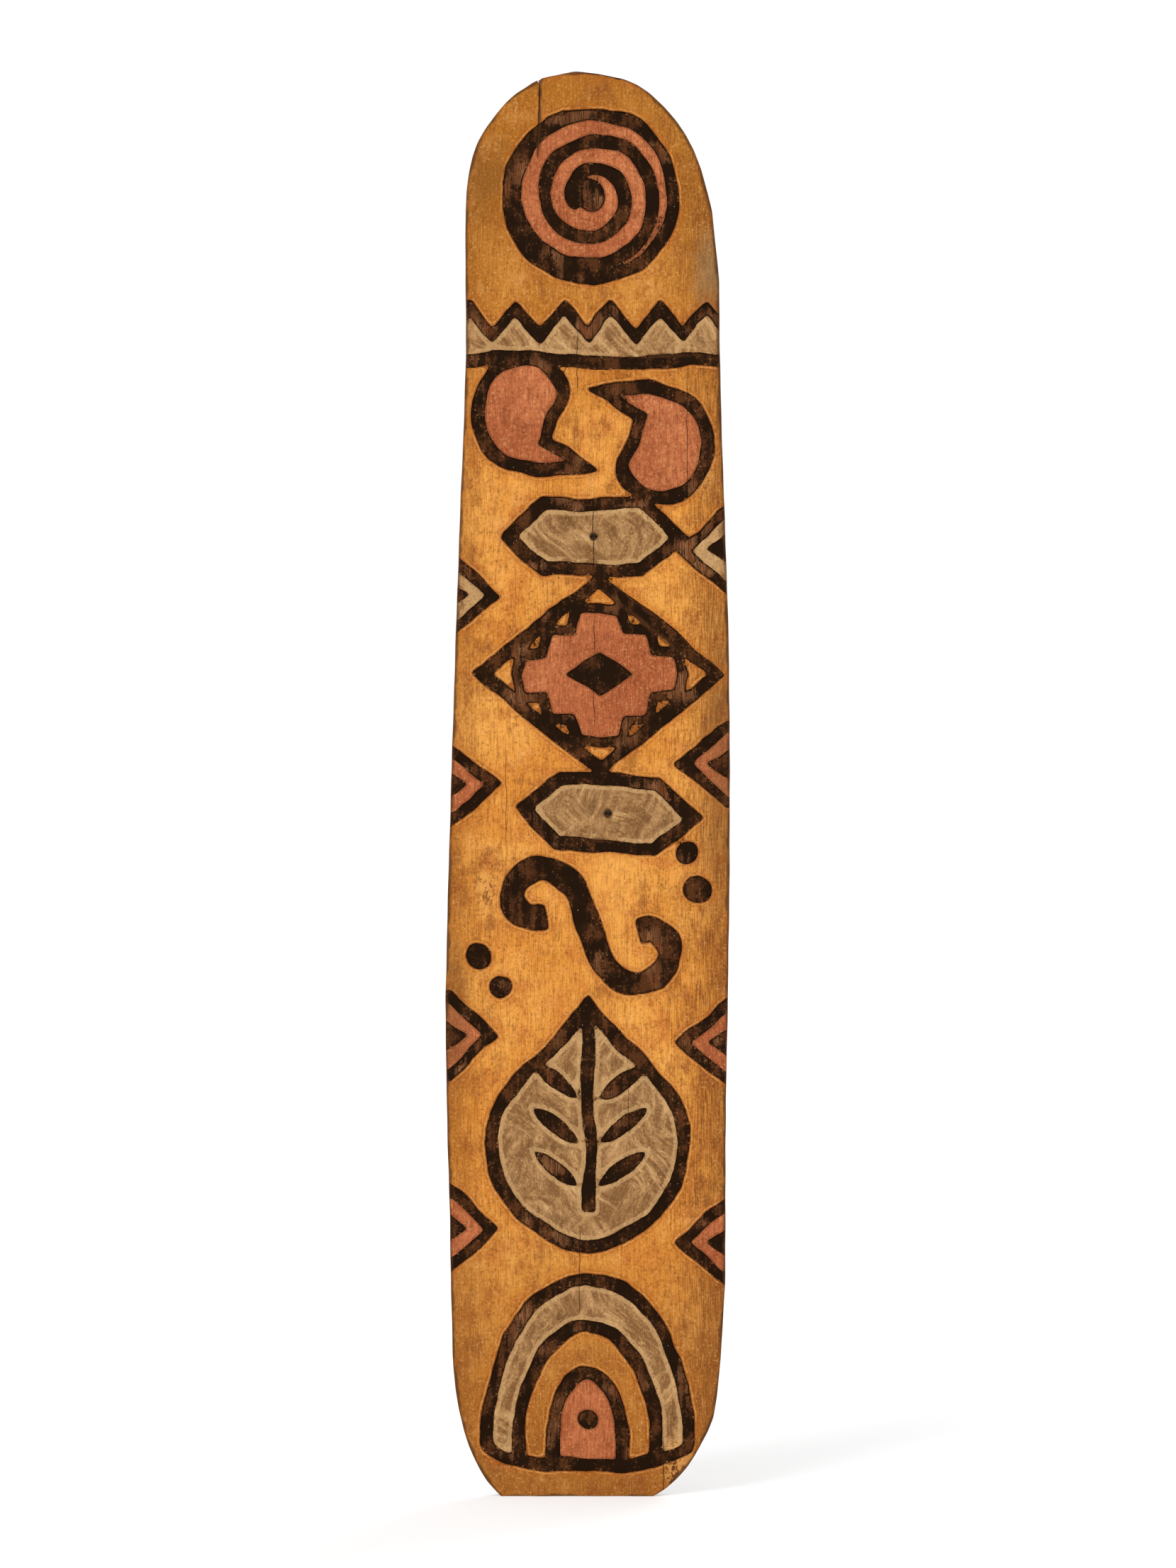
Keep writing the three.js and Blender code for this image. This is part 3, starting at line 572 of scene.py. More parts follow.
def face_points(loops, spacing, contours):
    """Points and joined pairs for one face: its loops, its contours and a grid between them."""
    points = [loop[:, [0, 2]] for loop in loops]
    pairs, count = [], 0
    for loop in points:
        pairs += [(count + i, count + (i + 1) % len(loop)) for i in range(len(loop))]
        count += len(loop)
    from_rim = distance_inside(points)
    for found, joins in contours:
        kept = sampled(from_rim, *found.T) > 2 * FIELD_CELL
        number = np.where(kept, count + np.cumsum(kept) - 1, -1)
        points.append(found[kept])
        pairs += [(number[a], number[b]) for a, b in joins if kept[a] and kept[b]]
        count += kept.sum()
    rows, columns = (np.array(field_shape) * FIELD_CELL / spacing).astype(int)
    z, x = np.mgrid[0:rows, 0:columns].astype(float)
    x = (x + 0.5 * (z % 2)).ravel() * spacing + field_low[0]
    z = z.ravel() * spacing + field_low[1]
    clear = sampled(from_rim, x, z) > spacing / 2
    if contours:
        middle = (WALL_TOP + WALL_FOOT) / 2
        clear &= np.abs(sampled(line_distance, x, z) - middle) > spacing / 2
    points.append(np.column_stack([x, z])[clear])
    return np.vstack(points), pairs


def inside_loops(places, loops):
    """Which places lie inside the outline and outside the holes."""
    crossings = np.zeros(len(places), dtype=int)
    for loop in loops:
        for (x0, z0), (x1, z1) in zip(loop, np.roll(loop, -1, axis=0)):
            level = (places[:, 1] > min(z0, z1)) & (places[:, 1] <= max(z0, z1))
            crossed_at = x0 + (places[level, 1] - z0) / (z1 - z0) * (x1 - x0)
            crossings[level] += places[level, 0] > crossed_at
    return crossings % 2 == 1


def triangulated(loops, points, pairs):
    """Triangles between the points, inside the loops: points, triangles, and each given point's
    new number."""
    flat_points = [Vector(p) for p in points]
    only_inside = 1
    made = geometry.delaunay_2d_cdt(flat_points, pairs, [], only_inside, POINT_TOLERANCE, True)
    flat = np.array([tuple(p) for p in made[0]])
    triangles = np.array(made[2])
    number = {given: new for new, all_given in enumerate(made[3]) for given in all_given}
    on_loop = np.zeros(len(flat), dtype=bool)
    on_loop[[number[i] for i in range(sum(len(loop) for loop in loops))]] = True
    doubtful = np.flatnonzero(on_loop[triangles].all(axis=1))
    solid = inside_loops(flat[triangles[doubtful]].mean(axis=1), loops)
    return flat, np.delete(triangles, doubtful[~solid], axis=0), number


def board_rims():
    """The rings round the board's own edge, and those round each of its holes."""
    from_split = np.hypot(
        np.maximum(np.abs(outline[:, 0] - SPLIT_MIDDLE) - SPLIT_HALF, 0),
        np.maximum(SPLIT_FOOT - outline[:, 1], 0),
    )
    rounding = np.minimum(EDGE_ROUND, SHARP_ROUND + SPLIT_ROUND_GROWTH * from_split)
    rounding = np.minimum(rounding, FOOT_ROUND + FOOT_ROUND_GROWTH * outline[:, 1])
    edge = rim_rings(outline, rounding)
    for ring in edge:
        depth_share = np.clip(ring[:, 1] / BOARD_THICKNESS + 0.5, 0, 1)
        ring[:, 0] += SPLIT_SLANT * depth_share * smooth_step(from_split, SPLIT_HALF, 0)
    return [edge] + [rim_rings(loop, np.full(len(loop), SHARP_ROUND)) for _, _, loop in holes]


def mark_paint(mesh, x, z, on_front):
    """Marks on the board's points what its paint depends on."""
    marks = {
        "line_distance": sampled(line_distance, x, z),
        "edge_distance": sampled(edge_distance, x, z),
        "pink": sampled(pink_share, x, z),
        "grey": sampled(grey_share, x, z),
        "front": on_front,
        "ridge": 1 - strokes(x, z, *BACK_STROKES) / BACK_STROKES[2],
    }
    for name, values in marks.items():
        made = mesh.attributes.new(name, "FLOAT", "POINT")
        made.data.foreach_set("value", values.astype(np.float32))


def board_mesh():
    """Both faces, triangulated between their rims, and the rims' rings that join them."""
    rings = board_rims()
    contours = [contour(line_distance, level, CONTOUR_STRIDE) for level in (WALL_FOOT, WALL_TOP)]
    vertices, faces, on_front, count = [], [], [], 0
    face_loops = []
    for which, (spacing, lines) in enumerate(((FRONT_GRID, contours), (BACK_GRID, []))):
        loops = [ring[-which] for ring in rings]
        points, pairs = face_points(loops, spacing, lines)
        flat, triangles, number = triangulated([loop[:, [0, 2]] for loop in loops], points, pairs)
        heights = (front_at, back_at)[which](*flat.T)
        vertices.append(np.column_stack([flat[:, 0], heights, flat[:, 1]]))
        faces += (count + triangles[:, ::(1, -1)[which]]).tolist()
        starts = np.cumsum([0] + [len(loop) for loop in loops])
        face_loops.append([
            [count + number[i] for i in range(start, end)] for start, end in zip(starts, starts[1:])
        ])
        on_front.append(np.full(len(flat), 1.0 - which))
        count += len(flat)
    for which, ring in enumerate(rings):
        rows = [face_loops[0][which]]
        for depth, points in enumerate(ring[1:-1], start=1):
            rows.append(list(range(count, count + len(points))))
            vertices.append(points)
            on_front.append(np.full(len(points), 1 - depth / (len(ring) - 1)))
            count += len(points)
        rows.append(face_loops[1][which])
        for upper, lower in zip(rows, rows[1:]):
            for i in range(len(upper)):
                k = (i + 1) % len(upper)
                faces.append((upper[i], lower[i], lower[k], upper[k]))
    vertices = np.vstack(vertices)
    mesh = bpy.data.meshes.new("painted_board")
    mesh.from_pydata(vertices.tolist(), [], faces)
    mark_paint(mesh, vertices[:, 0], vertices[:, 2], np.concatenate(on_front))
    mesh.shade_smooth()
    mesh.set_sharp_from_angle(angle=BOARD_CREASE)
    return mesh


def from_srgb(red, green, blue):
    """A colour as it is written for a screen, made linear for a shader."""
    shares = [value / 255 for value in (red, green, blue)]
    return (*[s / 12.92 if s <= 0.04045 else ((s + 0.055) / 1.055) ** 2.4 for s in shares], 1)


class Finish(Nodes):
    """A material on a piece's own coordinates. Its methods return the socket that they make."""

    def __init__(self, name, specular):
        self.material = bpy.data.materials.new(name)
        self.material.use_nodes = True
        super().__init__(self.material.node_tree)
        self.shader = self.tree.nodes["Principled BSDF"]
        self.shader.inputs["Specular IOR Level"].default_value = specular
        self.place = self.node("ShaderNodeTexCoord").outputs["Object"]

    def mark(self, name):
        return self.node("ShaderNodeAttribute", attribute_name=name).outputs["Fac"]

    def between(self, value, low, high):
        """0 at low and 1 at high, with a smooth step from one to the other."""
        inputs = {"Value": value, "From Min": low, "From Max": high}
        return self.node("ShaderNodeMapRange", inputs, interpolation_type="SMOOTHSTEP").outputs[0]

    def noise(self, size, detail=2.0, roughness=0.5, place=None, heading=0.0):
        """Clouds from 0 to 1, of one size or of a size along each axis, in metres. They can
        be turned as seen from the front."""
        place = self.node("ShaderNodeMapping", {
            "Vector": place or self.place, "Rotation": (0, heading, 0),
            "Scale": size if isinstance(size, tuple) else (size, size, size),
        }, vector_type="TEXTURE").outputs[0]
        inputs = {"Vector": place, "Scale": 1.0, "Detail": detail, "Roughness": roughness}
        return self.node("ShaderNodeTexNoise", inputs).outputs["Fac"]

    def mix(self, share, first, second):
        return self.node("ShaderNodeMix", {0: share, 6: first, 7: second}, data_type="RGBA").outputs[2]

    def shaded(self, cloud, low, high, first, second):
        """One colour that passes into another as a cloud passes from low to high."""
        return self.mix(self.between(cloud, low, high), from_srgb(*first), from_srgb(*second))

    def over(self, under, colour, mask, strength=1.0):
        """A colour laid over another where a mask is 1."""
        return self.mix(self.times(mask, strength), under, from_srgb(*colour))

    def layered(self, under, layers):
        """A colour with others laid over it in turn: each layer's colour, strength and mask."""
        for colour, strength, mask in layers:
            under = self.over(under, colour, mask, strength)
        return under

    def times(self, first, second):
        return self.math("MULTIPLY", first, second)

    def strayed(self, value, cloud, reach):
        """A value made uneven by a cloud, over a reach in all."""
        return self.math("ADD", value, self.times(self.math("SUBTRACT", cloud, 0.5), reach))

    def ragged(self, value, cloud, reach, low, high):
        """0 at low and 1 at high, for a value that a cloud makes uneven."""
        return self.between(self.strayed(value, cloud, reach), low, high)

    def span(self, value, low, high, softness):
        """1 between low and high, with a soft beginning and end inside them."""
        return self.times(
            self.between(value, low, low + softness), self.between(value, high, high - softness)
        )

    def bump(self, height, distance):
        made = self.node("ShaderNodeBump", {"Height": height, "Distance": distance})
        self.feed(self.shader.inputs["Normal"], made.outputs[0])

    def done(self, colour, roughness):
        self.feed(self.shader.inputs["Base Color"], colour)
        self.feed(self.shader.inputs["Roughness"], roughness)
        return self.material


# How large the clouds, grain and strokes are that vary the board's colours: one size, or the
# sizes across, through and up the board
CLOUD = 0.110
SMUDGE = (0.040, 0.040, 0.070)
WEAR = 0.052
PATCH = 0.028
MOTTLE = (0.0060, 0.0060, 0.0110)
CRUMB = 0.0030
SPECK = (0.0015, 0.0015, 0.0024)
GRAIN = (0.0011, 0.0011, 0.024)
FIGURE = (0.0065, 0.0065, 0.150)
GROWTH_BANDS = (0.030, 0.030, 0.500)
BRISTLES = (0.0016, 0.0016, 0.045)
BRUSH = (0.0090, 0.0090, 0.060)
BRUSH_TURN = 0.075
BRUSH_HEADINGS = (0.30, -0.80)
BRUSH_BEND = 0.085
BRUSH_BEND_REACH = 0.060
TIDE_LEVEL_share = 0.44  # where the grey's tide marks run in its clouds, and how wide they are
TIDE_WIDTH_share = 0.012
PAINT_RELIEF = 0.0003
HAIRLINE_WAVER = (0.080, 0.080, 0.030)
HAIRLINE_STRAY = 0.006
HAIRLINE_FADE = 0.025  # at each end of a hairline
HAIRLINE_SOFT_share = 1.6  # of its half width, where its dark has faded away
HAIRLINES = [  # x, lowest and highest z, half width
    (0.0067, 1.085, 1.185, 0.0005), (0.0075, 0.900, 1.050, 0.0004), (-0.0120, 1.295, 1.390, 0.0004),
    (-0.0095, 0.205, 0.330, 0.0004), (0.0900, -0.025, 0.080, 0.0005), (0.0480, 0.420, 0.520, 0.0003),
    (-0.0970, 0.760, 0.900, 0.0003), (0.1180, 1.180, 1.330, 0.0004),
]
STAINS = [  # x, z, half width, half height, softness of the edge, colour, strength
    (0.146, 1.455, 0.030, 0.070, 1.0, (150, 122, 84), 0.60),
    (-0.160, 0.560, 0.028, 0.130, 1.0, (120, 76, 40), 0.55),
    (0.160, 0.880, 0.040, 0.220, 1.0, (126, 80, 42), 0.55),
    (-0.120, 1.560, 0.050, 0.070, 1.0, (122, 76, 32), 0.55),
]
FLAKED_PLACES = [  # x, z, half width, half height, softness of the edge
    (0.101, 0.036, 0.013, 0.046, 0.5), (0.116, 0.046, 0.014, 0.024, 0.7),
    (-0.120, 0.720, 0.020, 0.035, 1.0), (0.138, 1.215, 0.016, 0.040, 1.0),
]
GREASED_PLACE = (0.0105, 0.9734, 0.095, 0.230, 1.0)

# The bands beside the lines: the two distances from a line's edge between which each lies,
# how softly it begins and ends, and how far its clouds make it stray
# A painted highlight along the lips of the cuts on the ochre
PAINTED_LIP_HIGHLIGHT = (0.0009, 0.0034, 0.0008, 0.0030)
SCRIBED_LINE = (0.0040, 0.0052, 0.0005, 0.0014)
# On the grey, a pale rim beside the lines: partly worn paint, partly a painted highlight
PALE_RIM_WEAR_AND_HIGHLIGHT = (0.0002, 0.0062, 0.0014, 0.0050)
BURNT_HALO = (-0.0010, 0.0030, 0.0026, 0.0026)
DARK_RIM = (-0.0010, 0.0030, 0.0026, 0.0060)
RIM_FADE = (0.0055, 0.0085)  # from the board's rim, where all these bands come in
CHIPPED_EDGE = (-0.0024, -0.0008)  # inside a line's edge, where its black begins to have chips

# Where one colour passes into another: how far a cloud makes the place stray, and the heights
# or distances at which the second colour begins and is full
FOOT_FADE = (0.25, 0.44, 0.0)
TOP_FADE = (0.30, 1.22, 1.52)
SIDE_FADE = (0.07, 0.105, 0.170)
RIGHT_FADE = (0.06, 0.085, 0.150)
WARMED_FADE = (0.010, 0.011, 0.0)
WORN_FADE = (0.003, -0.0008, -0.0018)
LINE_FADE = (0.0013, 0.0006, 0.0)
CRUMBLED_STRAY = 0.0024  # how far a finer cloud makes the lines' edges stray as well
SOILED_FADE = (0.004, 0.0030, 0.0)
SOILED_STRAY = 0.012  # how far a broader cloud makes the soiled rim stray as well


class BoardPaint(Finish):
    """The paints and the bare wood of the board, which share their clouds and grain."""

    def __init__(self):
        super().__init__("painted_wood", specular=0.04)
        self.line = self.mark("line_distance")
        self.x, _, self.z = self.node("ShaderNodeSeparateXYZ", {0: self.place}).outputs
        self.cloud = self.noise(CLOUD, detail=3)
        self.patch = self.noise(PATCH, detail=4, roughness=0.6)
        self.mottle = self.noise(MOTTLE, detail=3, roughness=0.6)
        self.crumb = self.noise(CRUMB, detail=3, roughness=0.7)
        self.speck = self.noise(SPECK, detail=1)
        self.grain = self.noise(GRAIN, detail=3, roughness=0.65)
        self.figure = self.noise(FIGURE, detail=3)

    def around(self, x, z, half_width, half_height, softness):
        """1 round a place, falling to 0 at an uneven oval."""
        across = self.math("DIVIDE", self.math("SUBTRACT", self.x, x), half_width)
        up = self.math("DIVIDE", self.math("SUBTRACT", self.z, z), half_height)
        away = self.math("SQRT", self.math("ADD", self.times(across, across), self.times(up, up)))
        uneven = self.strayed(self.strayed(away, self.patch, 0.9), self.mottle, 1.1)
        return self.between(uneven, 1.0, 1.0 - softness)

    def bent_places(self):
        """Places moved about by slow clouds, which bends what is drawn on them."""
        clouds = self.node("ShaderNodeTexNoise", {
            "Vector": self.place, "Scale": 1 / BRUSH_BEND, "Detail": 1.0,
        }).outputs["Color"]
        reach = (BRUSH_BEND_REACH, BRUSH_BEND_REACH, BRUSH_BEND_REACH)
        shift = self.node("ShaderNodeVectorMath", {0: clouds, 1: reach}, operation="MULTIPLY").outputs[0]
        return self.node("ShaderNodeVectorMath", {0: self.place, 1: shift}, operation="ADD").outputs[0]

    def beside_lines(self, low, high, softness, stray):
        """1 in a band beside the lines, which stops short of the board's rim."""
        band = self.span(self.strayed(self.line, self.mottle, stray), low, high, softness)
        return self.times(band, self.between(self.mark("edge_distance"), *RIM_FADE))

    def rubbed_wood(self):
        """The wood that shows where the black has worn away."""
        return self.layered(from_srgb(168, 116, 76), [
            ((110, 66, 38), 1.0, self.ragged(self.figure, self.crumb, 0.5, 0.38, 0.62)),
            ((150, 76, 36), 0.5, self.between(self.mottle, 0.50, 0.64)),
            ((62, 35, 18), 1.0, self.between(self.grain, 0.44, 0.64)),
        ])

    def ochre(self):
        """Yellow earth, darker at the foot, the top and the sides and beside the lines, with a painted
        highlight along the lips of the cuts.
        """
        right = self.ragged(self.x, self.patch, *RIGHT_FADE)
        smudge = self.noise(SMUDGE, detail=6, roughness=0.75)
        scribed = self.times(self.beside_lines(*SCRIBED_LINE), self.between(self.cloud, 0.46, 0.54))
        # lip is a painted highlight along the lips of the cuts
        lip = self.times(self.beside_lines(*PAINTED_LIP_HIGHLIGHT), self.between(self.patch, 0.40, 0.56))
        colour = self.shaded(self.cloud, 0.35, 0.65, (250, 173, 80), (230, 148, 58))
        return self.layered(colour, [
            ((208, 118, 52), 0.6, self.between(self.patch, 0.47, 0.66)),
            ((250, 172, 86), 0.4, self.between(self.patch, 0.45, 0.33)),
            ((160, 98, 36), 0.85, self.ragged(self.z, self.cloud, *FOOT_FADE)),
            ((168, 102, 28), 0.8, self.ragged(self.z, self.cloud, *TOP_FADE)),
            ((146, 84, 30), 0.6, self.ragged(self.math("ABSOLUTE", self.x), self.patch, *SIDE_FADE)),
            ((150, 84, 34), 0.6, self.between(self.grain, 0.47, 0.68)),
            ((122, 72, 34), 0.7, self.times(right, self.between(self.grain, 0.38, 0.62))),
            ((146, 82, 36), 0.65, self.between(smudge, 0.52, 0.66)),
            ((238, 170, 98), 0.35, self.between(smudge, 0.45, 0.33)),
            ((138, 78, 32), 0.35, self.between(self.mottle, 0.51, 0.70)),
            ((182, 98, 32), 0.45, self.ragged(self.line, self.patch, *WARMED_FADE)),
            ((122, 66, 28), 0.45, scribed),
            # the painted highlight on the lips of the cuts
            ((248, 184, 98), 0.5, lip),
            ((140, 66, 26), 0.8, self.beside_lines(*BURNT_HALO)),
        ])

    def pink(self):
        """Reddish earth, with a dark rim beside the lines."""
        colour = self.shaded(self.cloud, 0.35, 0.65, (208, 122, 76), (184, 100, 60))
        return self.layered(colour, [
            ((160, 82, 48), 0.55, self.between(self.patch, 0.48, 0.66)),
            ((132, 64, 36), 0.6, self.between(self.grain, 0.46, 0.68)),
            ((136, 68, 40), 0.45, self.between(self.mottle, 0.49, 0.68)),
            ((222, 142, 96), 0.2, self.between(self.mottle, 0.44, 0.34)),
            ((110, 52, 28), 0.7, self.beside_lines(*DARK_RIM)),
        ])

    def grey(self):
        """Earth brushed on in bent strokes, with tide marks, and a pale rim beside the lines that is partly
        worn paint and partly a painted highlight.
        """
        place = self.bent_places()
        other_way = self.between(self.noise(BRUSH_TURN), 0.42, 0.58)
        brushed = []
        for heading in BRUSH_HEADINGS:
            bristles = self.noise(BRISTLES, detail=3, roughness=0.6, place=place, heading=heading)
            broad = self.noise(BRUSH, detail=2, place=place, heading=heading)
            brushed.append(self.strayed(broad, bristles, 0.60))
        stroke = self.node("ShaderNodeMix", {0: other_way, 2: brushed[0], 3: brushed[1]}).outputs[0]
        tide = self.math("ABSOLUTE", self.math("SUBTRACT", self.patch, TIDE_LEVEL_share))
        colour = self.shaded(stroke, 0.34, 0.70, (138, 97, 58), (196, 150, 99))
        return self.layered(colour, [
            ((112, 77, 46), 0.6, self.between(self.patch, 0.50, 0.70)),
            ((98, 66, 39), 0.45, self.between(tide, TIDE_WIDTH_share, 0.0)),
            ((216, 180, 128), 0.6, self.between(stroke, 0.64, 0.74)),
            # the pale rim beside the lines: partly worn paint, partly a painted highlight
            ((206, 164, 112), 0.6, self.beside_lines(*PALE_RIM_WEAR_AND_HIGHLIGHT)),
        ])

    def black(self):
        """Soot black, worn thin in stretches but kept in the corners of the cuts."""
        inside = self.ragged(self.line, self.mottle, *WORN_FADE)
        thin = self.strayed(self.patch, self.figure, 0.5)
        thin = self.times(self.ragged(thin, self.crumb, 0.6, 0.48, 0.68), inside)
        worn = self.strayed(self.strayed(self.noise(WEAR, detail=2), self.figure, 0.40), self.grain, 0.30)
        worn = self.times(self.ragged(worn, self.crumb, 0.25, 0.57, 0.65), inside)
        flecks = self.times(self.between(self.crumb, 0.64, 0.72), self.math("MAXIMUM", thin, worn))
        chips = self.times(self.between(self.line, *CHIPPED_EDGE), self.between(self.crumb, 0.55, 0.61))
        chips = self.times(chips, self.ragged(self.patch, self.mottle, 0.8, 0.50, 0.58))
        colour = self.shaded(self.patch, 0.4, 0.7, (32, 17, 5), (50, 29, 13))
        colour = self.over(colour, (104, 60, 32), thin, 0.6)
        colour = self.mix(self.times(worn, 0.85), colour, self.rubbed_wood())
        return self.layered(colour, [
            ((186, 132, 84), 0.6, flecks),
            ((188, 130, 84), 0.65, chips),
            ((206, 178, 140), 1.0, self.between(self.speck, 0.78, 0.82)),
        ])

    def flaked(self, field):
        """A field with small flakes of its paint gone, down to the wood."""
        flakes = self.ragged(self.mottle, self.crumb, 0.8, 0.50, 0.57)
        for place in FLAKED_PLACES:
            round_it = self.around(*place)
            field = self.over(field, (230, 166, 92), round_it, 0.45)
            field = self.over(field, (100, 54, 24), self.times(round_it, flakes), 0.95)
        return field

    def hairlines(self):
        """1 along the fine drying cracks, which follow the grain."""
        found = 0.0
        waver = self.noise(HAIRLINE_WAVER, detail=3)
        for x, low, high, half_width in HAIRLINES:
            away = self.strayed(self.math("SUBTRACT", self.x, x), waver, HAIRLINE_STRAY)
            away = self.math("ABSOLUTE", away)
            crack = self.between(away, half_width * HAIRLINE_SOFT_share, half_width / 2)
            crack = self.times(self.span(self.z, low, high, HAIRLINE_FADE), crack)
            found = self.math("MAXIMUM", found, crack)
        return found

    def face(self):
        """The whole carved and painted front."""
        field = self.mix(self.between(self.mark("pink"), 0.4, 0.6), self.ochre(), self.pink())
        field = self.mix(self.between(self.mark("grey"), 0.4, 0.6), field, self.grey())
        field = self.layered(field, [
            ((108, 62, 30), 0.5, self.between(self.crumb, 0.53, 0.67)),
            ((246, 194, 126), 0.35, self.between(self.crumb, 0.45, 0.32)),
            ((246, 190, 116), 0.35, self.between(self.grain, 0.40, 0.28)),
            ((56, 33, 16), 0.85, self.ragged(self.speck, self.patch, 0.55, 0.76, 0.82)),
            *[(colour, strength, self.around(*place)) for *place, colour, strength in STAINS],
        ])
        field = self.flaked(field)
        crumbled = self.strayed(self.line, self.crumb, CRUMBLED_STRAY)
        in_line = self.ragged(crumbled, self.mottle, *LINE_FADE)
        face = self.mix(in_line, field, self.black())
        face = self.over(face, (34, 20, 12), self.hairlines(), 0.9)
        edge = self.strayed(self.mark("edge_distance"), self.patch, SOILED_STRAY)
        soiled = self.ragged(edge, self.crumb, *SOILED_FADE)
        return self.over(face, (84, 50, 26), soiled, 0.8)

    def aged_wood(self):
        """The bare back and sides, browned by smoke, with the ridges of the adze rubbed pale."""
        bands = self.noise(GROWTH_BANDS, detail=4, roughness=0.6)
        rubbed = self.strayed(self.mark("ridge"), self.grain, 0.50)
        colour = self.shaded(bands, 0.36, 0.64, (126, 86, 56), (94, 61, 39))
        return self.layered(colour, [
            ((60, 38, 25), 0.7, self.between(self.grain, 0.42, 0.68)),
            ((66, 42, 27), 0.6, self.ragged(bands, self.patch, 0.7, 0.56, 0.74)),
            ((158, 114, 78), 0.4, self.ragged(rubbed, self.patch, 0.50, 0.50, 1.10)),
            ((58, 35, 22), 0.45, self.around(*GREASED_PLACE)),
            ((24, 15, 10), 0.8, self.hairlines()),
        ])

    def finished(self):
        """The painted front and the bare wood, which meet at the rounded edge."""
        painted = self.ragged(self.mark("front"), self.patch, 0.4, 0.62, 0.70)
        relief = self.strayed(self.strayed(self.grain, self.speck, 0.5), self.crumb, 0.6)
        self.bump(relief, PAINT_RELIEF)
        colour = self.mix(painted, self.aged_wood(), self.face())
        return self.done(colour, self.between(self.patch, -0.6, 1.2))


painted_board = placed("painted_board", board_mesh())
painted_board.data.materials.append(BoardPaint().finished())
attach(painted_board, "root")
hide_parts("board")


# The bowed cane
# One length of cane, browned by smoke and bent to a bow behind the board. Its ends pass
# through the two holes, split for the wedges and frayed where the wedges were driven.
CANE_DIAMETER = 0.0078
GRIP_RISE = 0.062
CANE_SETBACK = 0.001
CANE_STEP = 0.0025
CANE_SIDES = 20
CANE_JOINTS = (0.142, 0.338)  # along the cane, the rings where leaves grew
JOINT_LENGTH = 0.0016
JOINT_SWELL_share = 0.06
SLOW_SWELLS = [(0.012, 61), (0.01, 143)]  # share of the thickness, radians for each metre
MEASURING_STEPS = 1440  # in which the way along the bow is measured
CANE_FIBRE = (0.050, 0.0006, 0.0006)  # the size of its streaks, along and across the cane
CANE_STAIN = 0.014
CANE_RELIEF = 0.00015
CANE_CREASE = math.radians(50)
SHADED_AND_SOOTED_TO = -0.004  # the y at which the cane's ends turn black: soot from the carving's black, and painted shade inside the holes
SHADE_AND_SOOT_FADE = BOARD_THICKNESS / 4
WEDGE_LENGTH = 0.010
WEDGE_HEAD = 0.002
WEDGE_TIP = 0.0009
WEDGE_WIDTH = 0.006
WEDGE_CLEARANCE = 0.0003
PRESSED_IN = 0.0002  # how far the wedged ends press into the wood round them
CUT_OVERRUN = 0.003
FIBRE_COUNT = 34
FIBRE_SIDES = 5
FIBRE_STEPS = 3
FIBRE_THICKNESS = 0.0004
FIBRE_POINT_share = 0.15  # of its thickness
FIBRE_LENGTHS = (0.0010, 0.0030)
FIBRE_PLACE_shares = (0.45, 0.92)  # of the cane's radius
FIBRE_LEAN_shares = (0.1, 0.9)  # how far it leans out, of how far it stands forward
FIBRE_JITTER = 0.1  # radians
LOOSE_FIBRES = [(0.9, 0.0046), (3.7, 0.0036)]  # bearing round the hole, length
LOOSE_PLACE_share = 0.8
LOOSE_LEAN_share = 2.4
TORN_STREAK = (0.0006, 0.004, 0.0006)
TORN_DIRT = 0.003
TORN_RELIEF = 0.0001
FRAYING_SEED = 21

upper_hole, lower_hole = sorted((middle for middle, _, _ in holes), key=lambda middle: -middle[1])
hole_spacing = np.linalg.norm(upper_hole - lower_hole)
cane_ends = [("lower", lower_hole, -hole_spacing / 2), ("upper", upper_hole, hole_spacing / 2)]
grip_middle = (upper_hole + lower_hole) / 2
grip_up = (upper_hole - lower_hole) / hole_spacing
grip_across = np.array([grip_up[1], -grip_up[0]])
grip_back = face_at(*grip_middle, BACK_CROWN)


def on_board(across, y, up):
    """Points of the grip, given across it, out from the board and up the line of its holes."""
    across, y, up = np.broadcast_arrays(across, y, up)
    flat = grip_middle + np.outer(across, grip_across) + np.outer(up, grip_up)
    return np.column_stack([flat[:, 0], y.ravel(), flat[:, 1]])


def bow(angle, across=0.0, outwards=0.0):
    """Points of the bow, from the lower hole at angle 0 to the upper one at pi."""
    half = hole_spacing / 2
    lean = np.hypot(np.cos(angle) / half, np.sin(angle) / GRIP_RISE)
    y = grip_back + GRIP_RISE * np.sin(angle) + outwards * np.sin(angle) / GRIP_RISE / lean
    return on_board(across, y, -half * np.cos(angle) - outwards * np.cos(angle) / half / lean)


def lengths_along(points):
    return np.append(0, np.cumsum(np.linalg.norm(np.diff(points, axis=0), axis=1)))


fine_angles = np.linspace(0, math.pi, MEASURING_STEPS + 1)
fine_lengths = lengths_along(bow(fine_angles))
fine_lengths -= fine_lengths[-1] / 2


def bow_angle(distance):
    """The angle of the point that lies so far along the bow from its middle."""
    return np.interp(distance, fine_lengths, fine_angles)


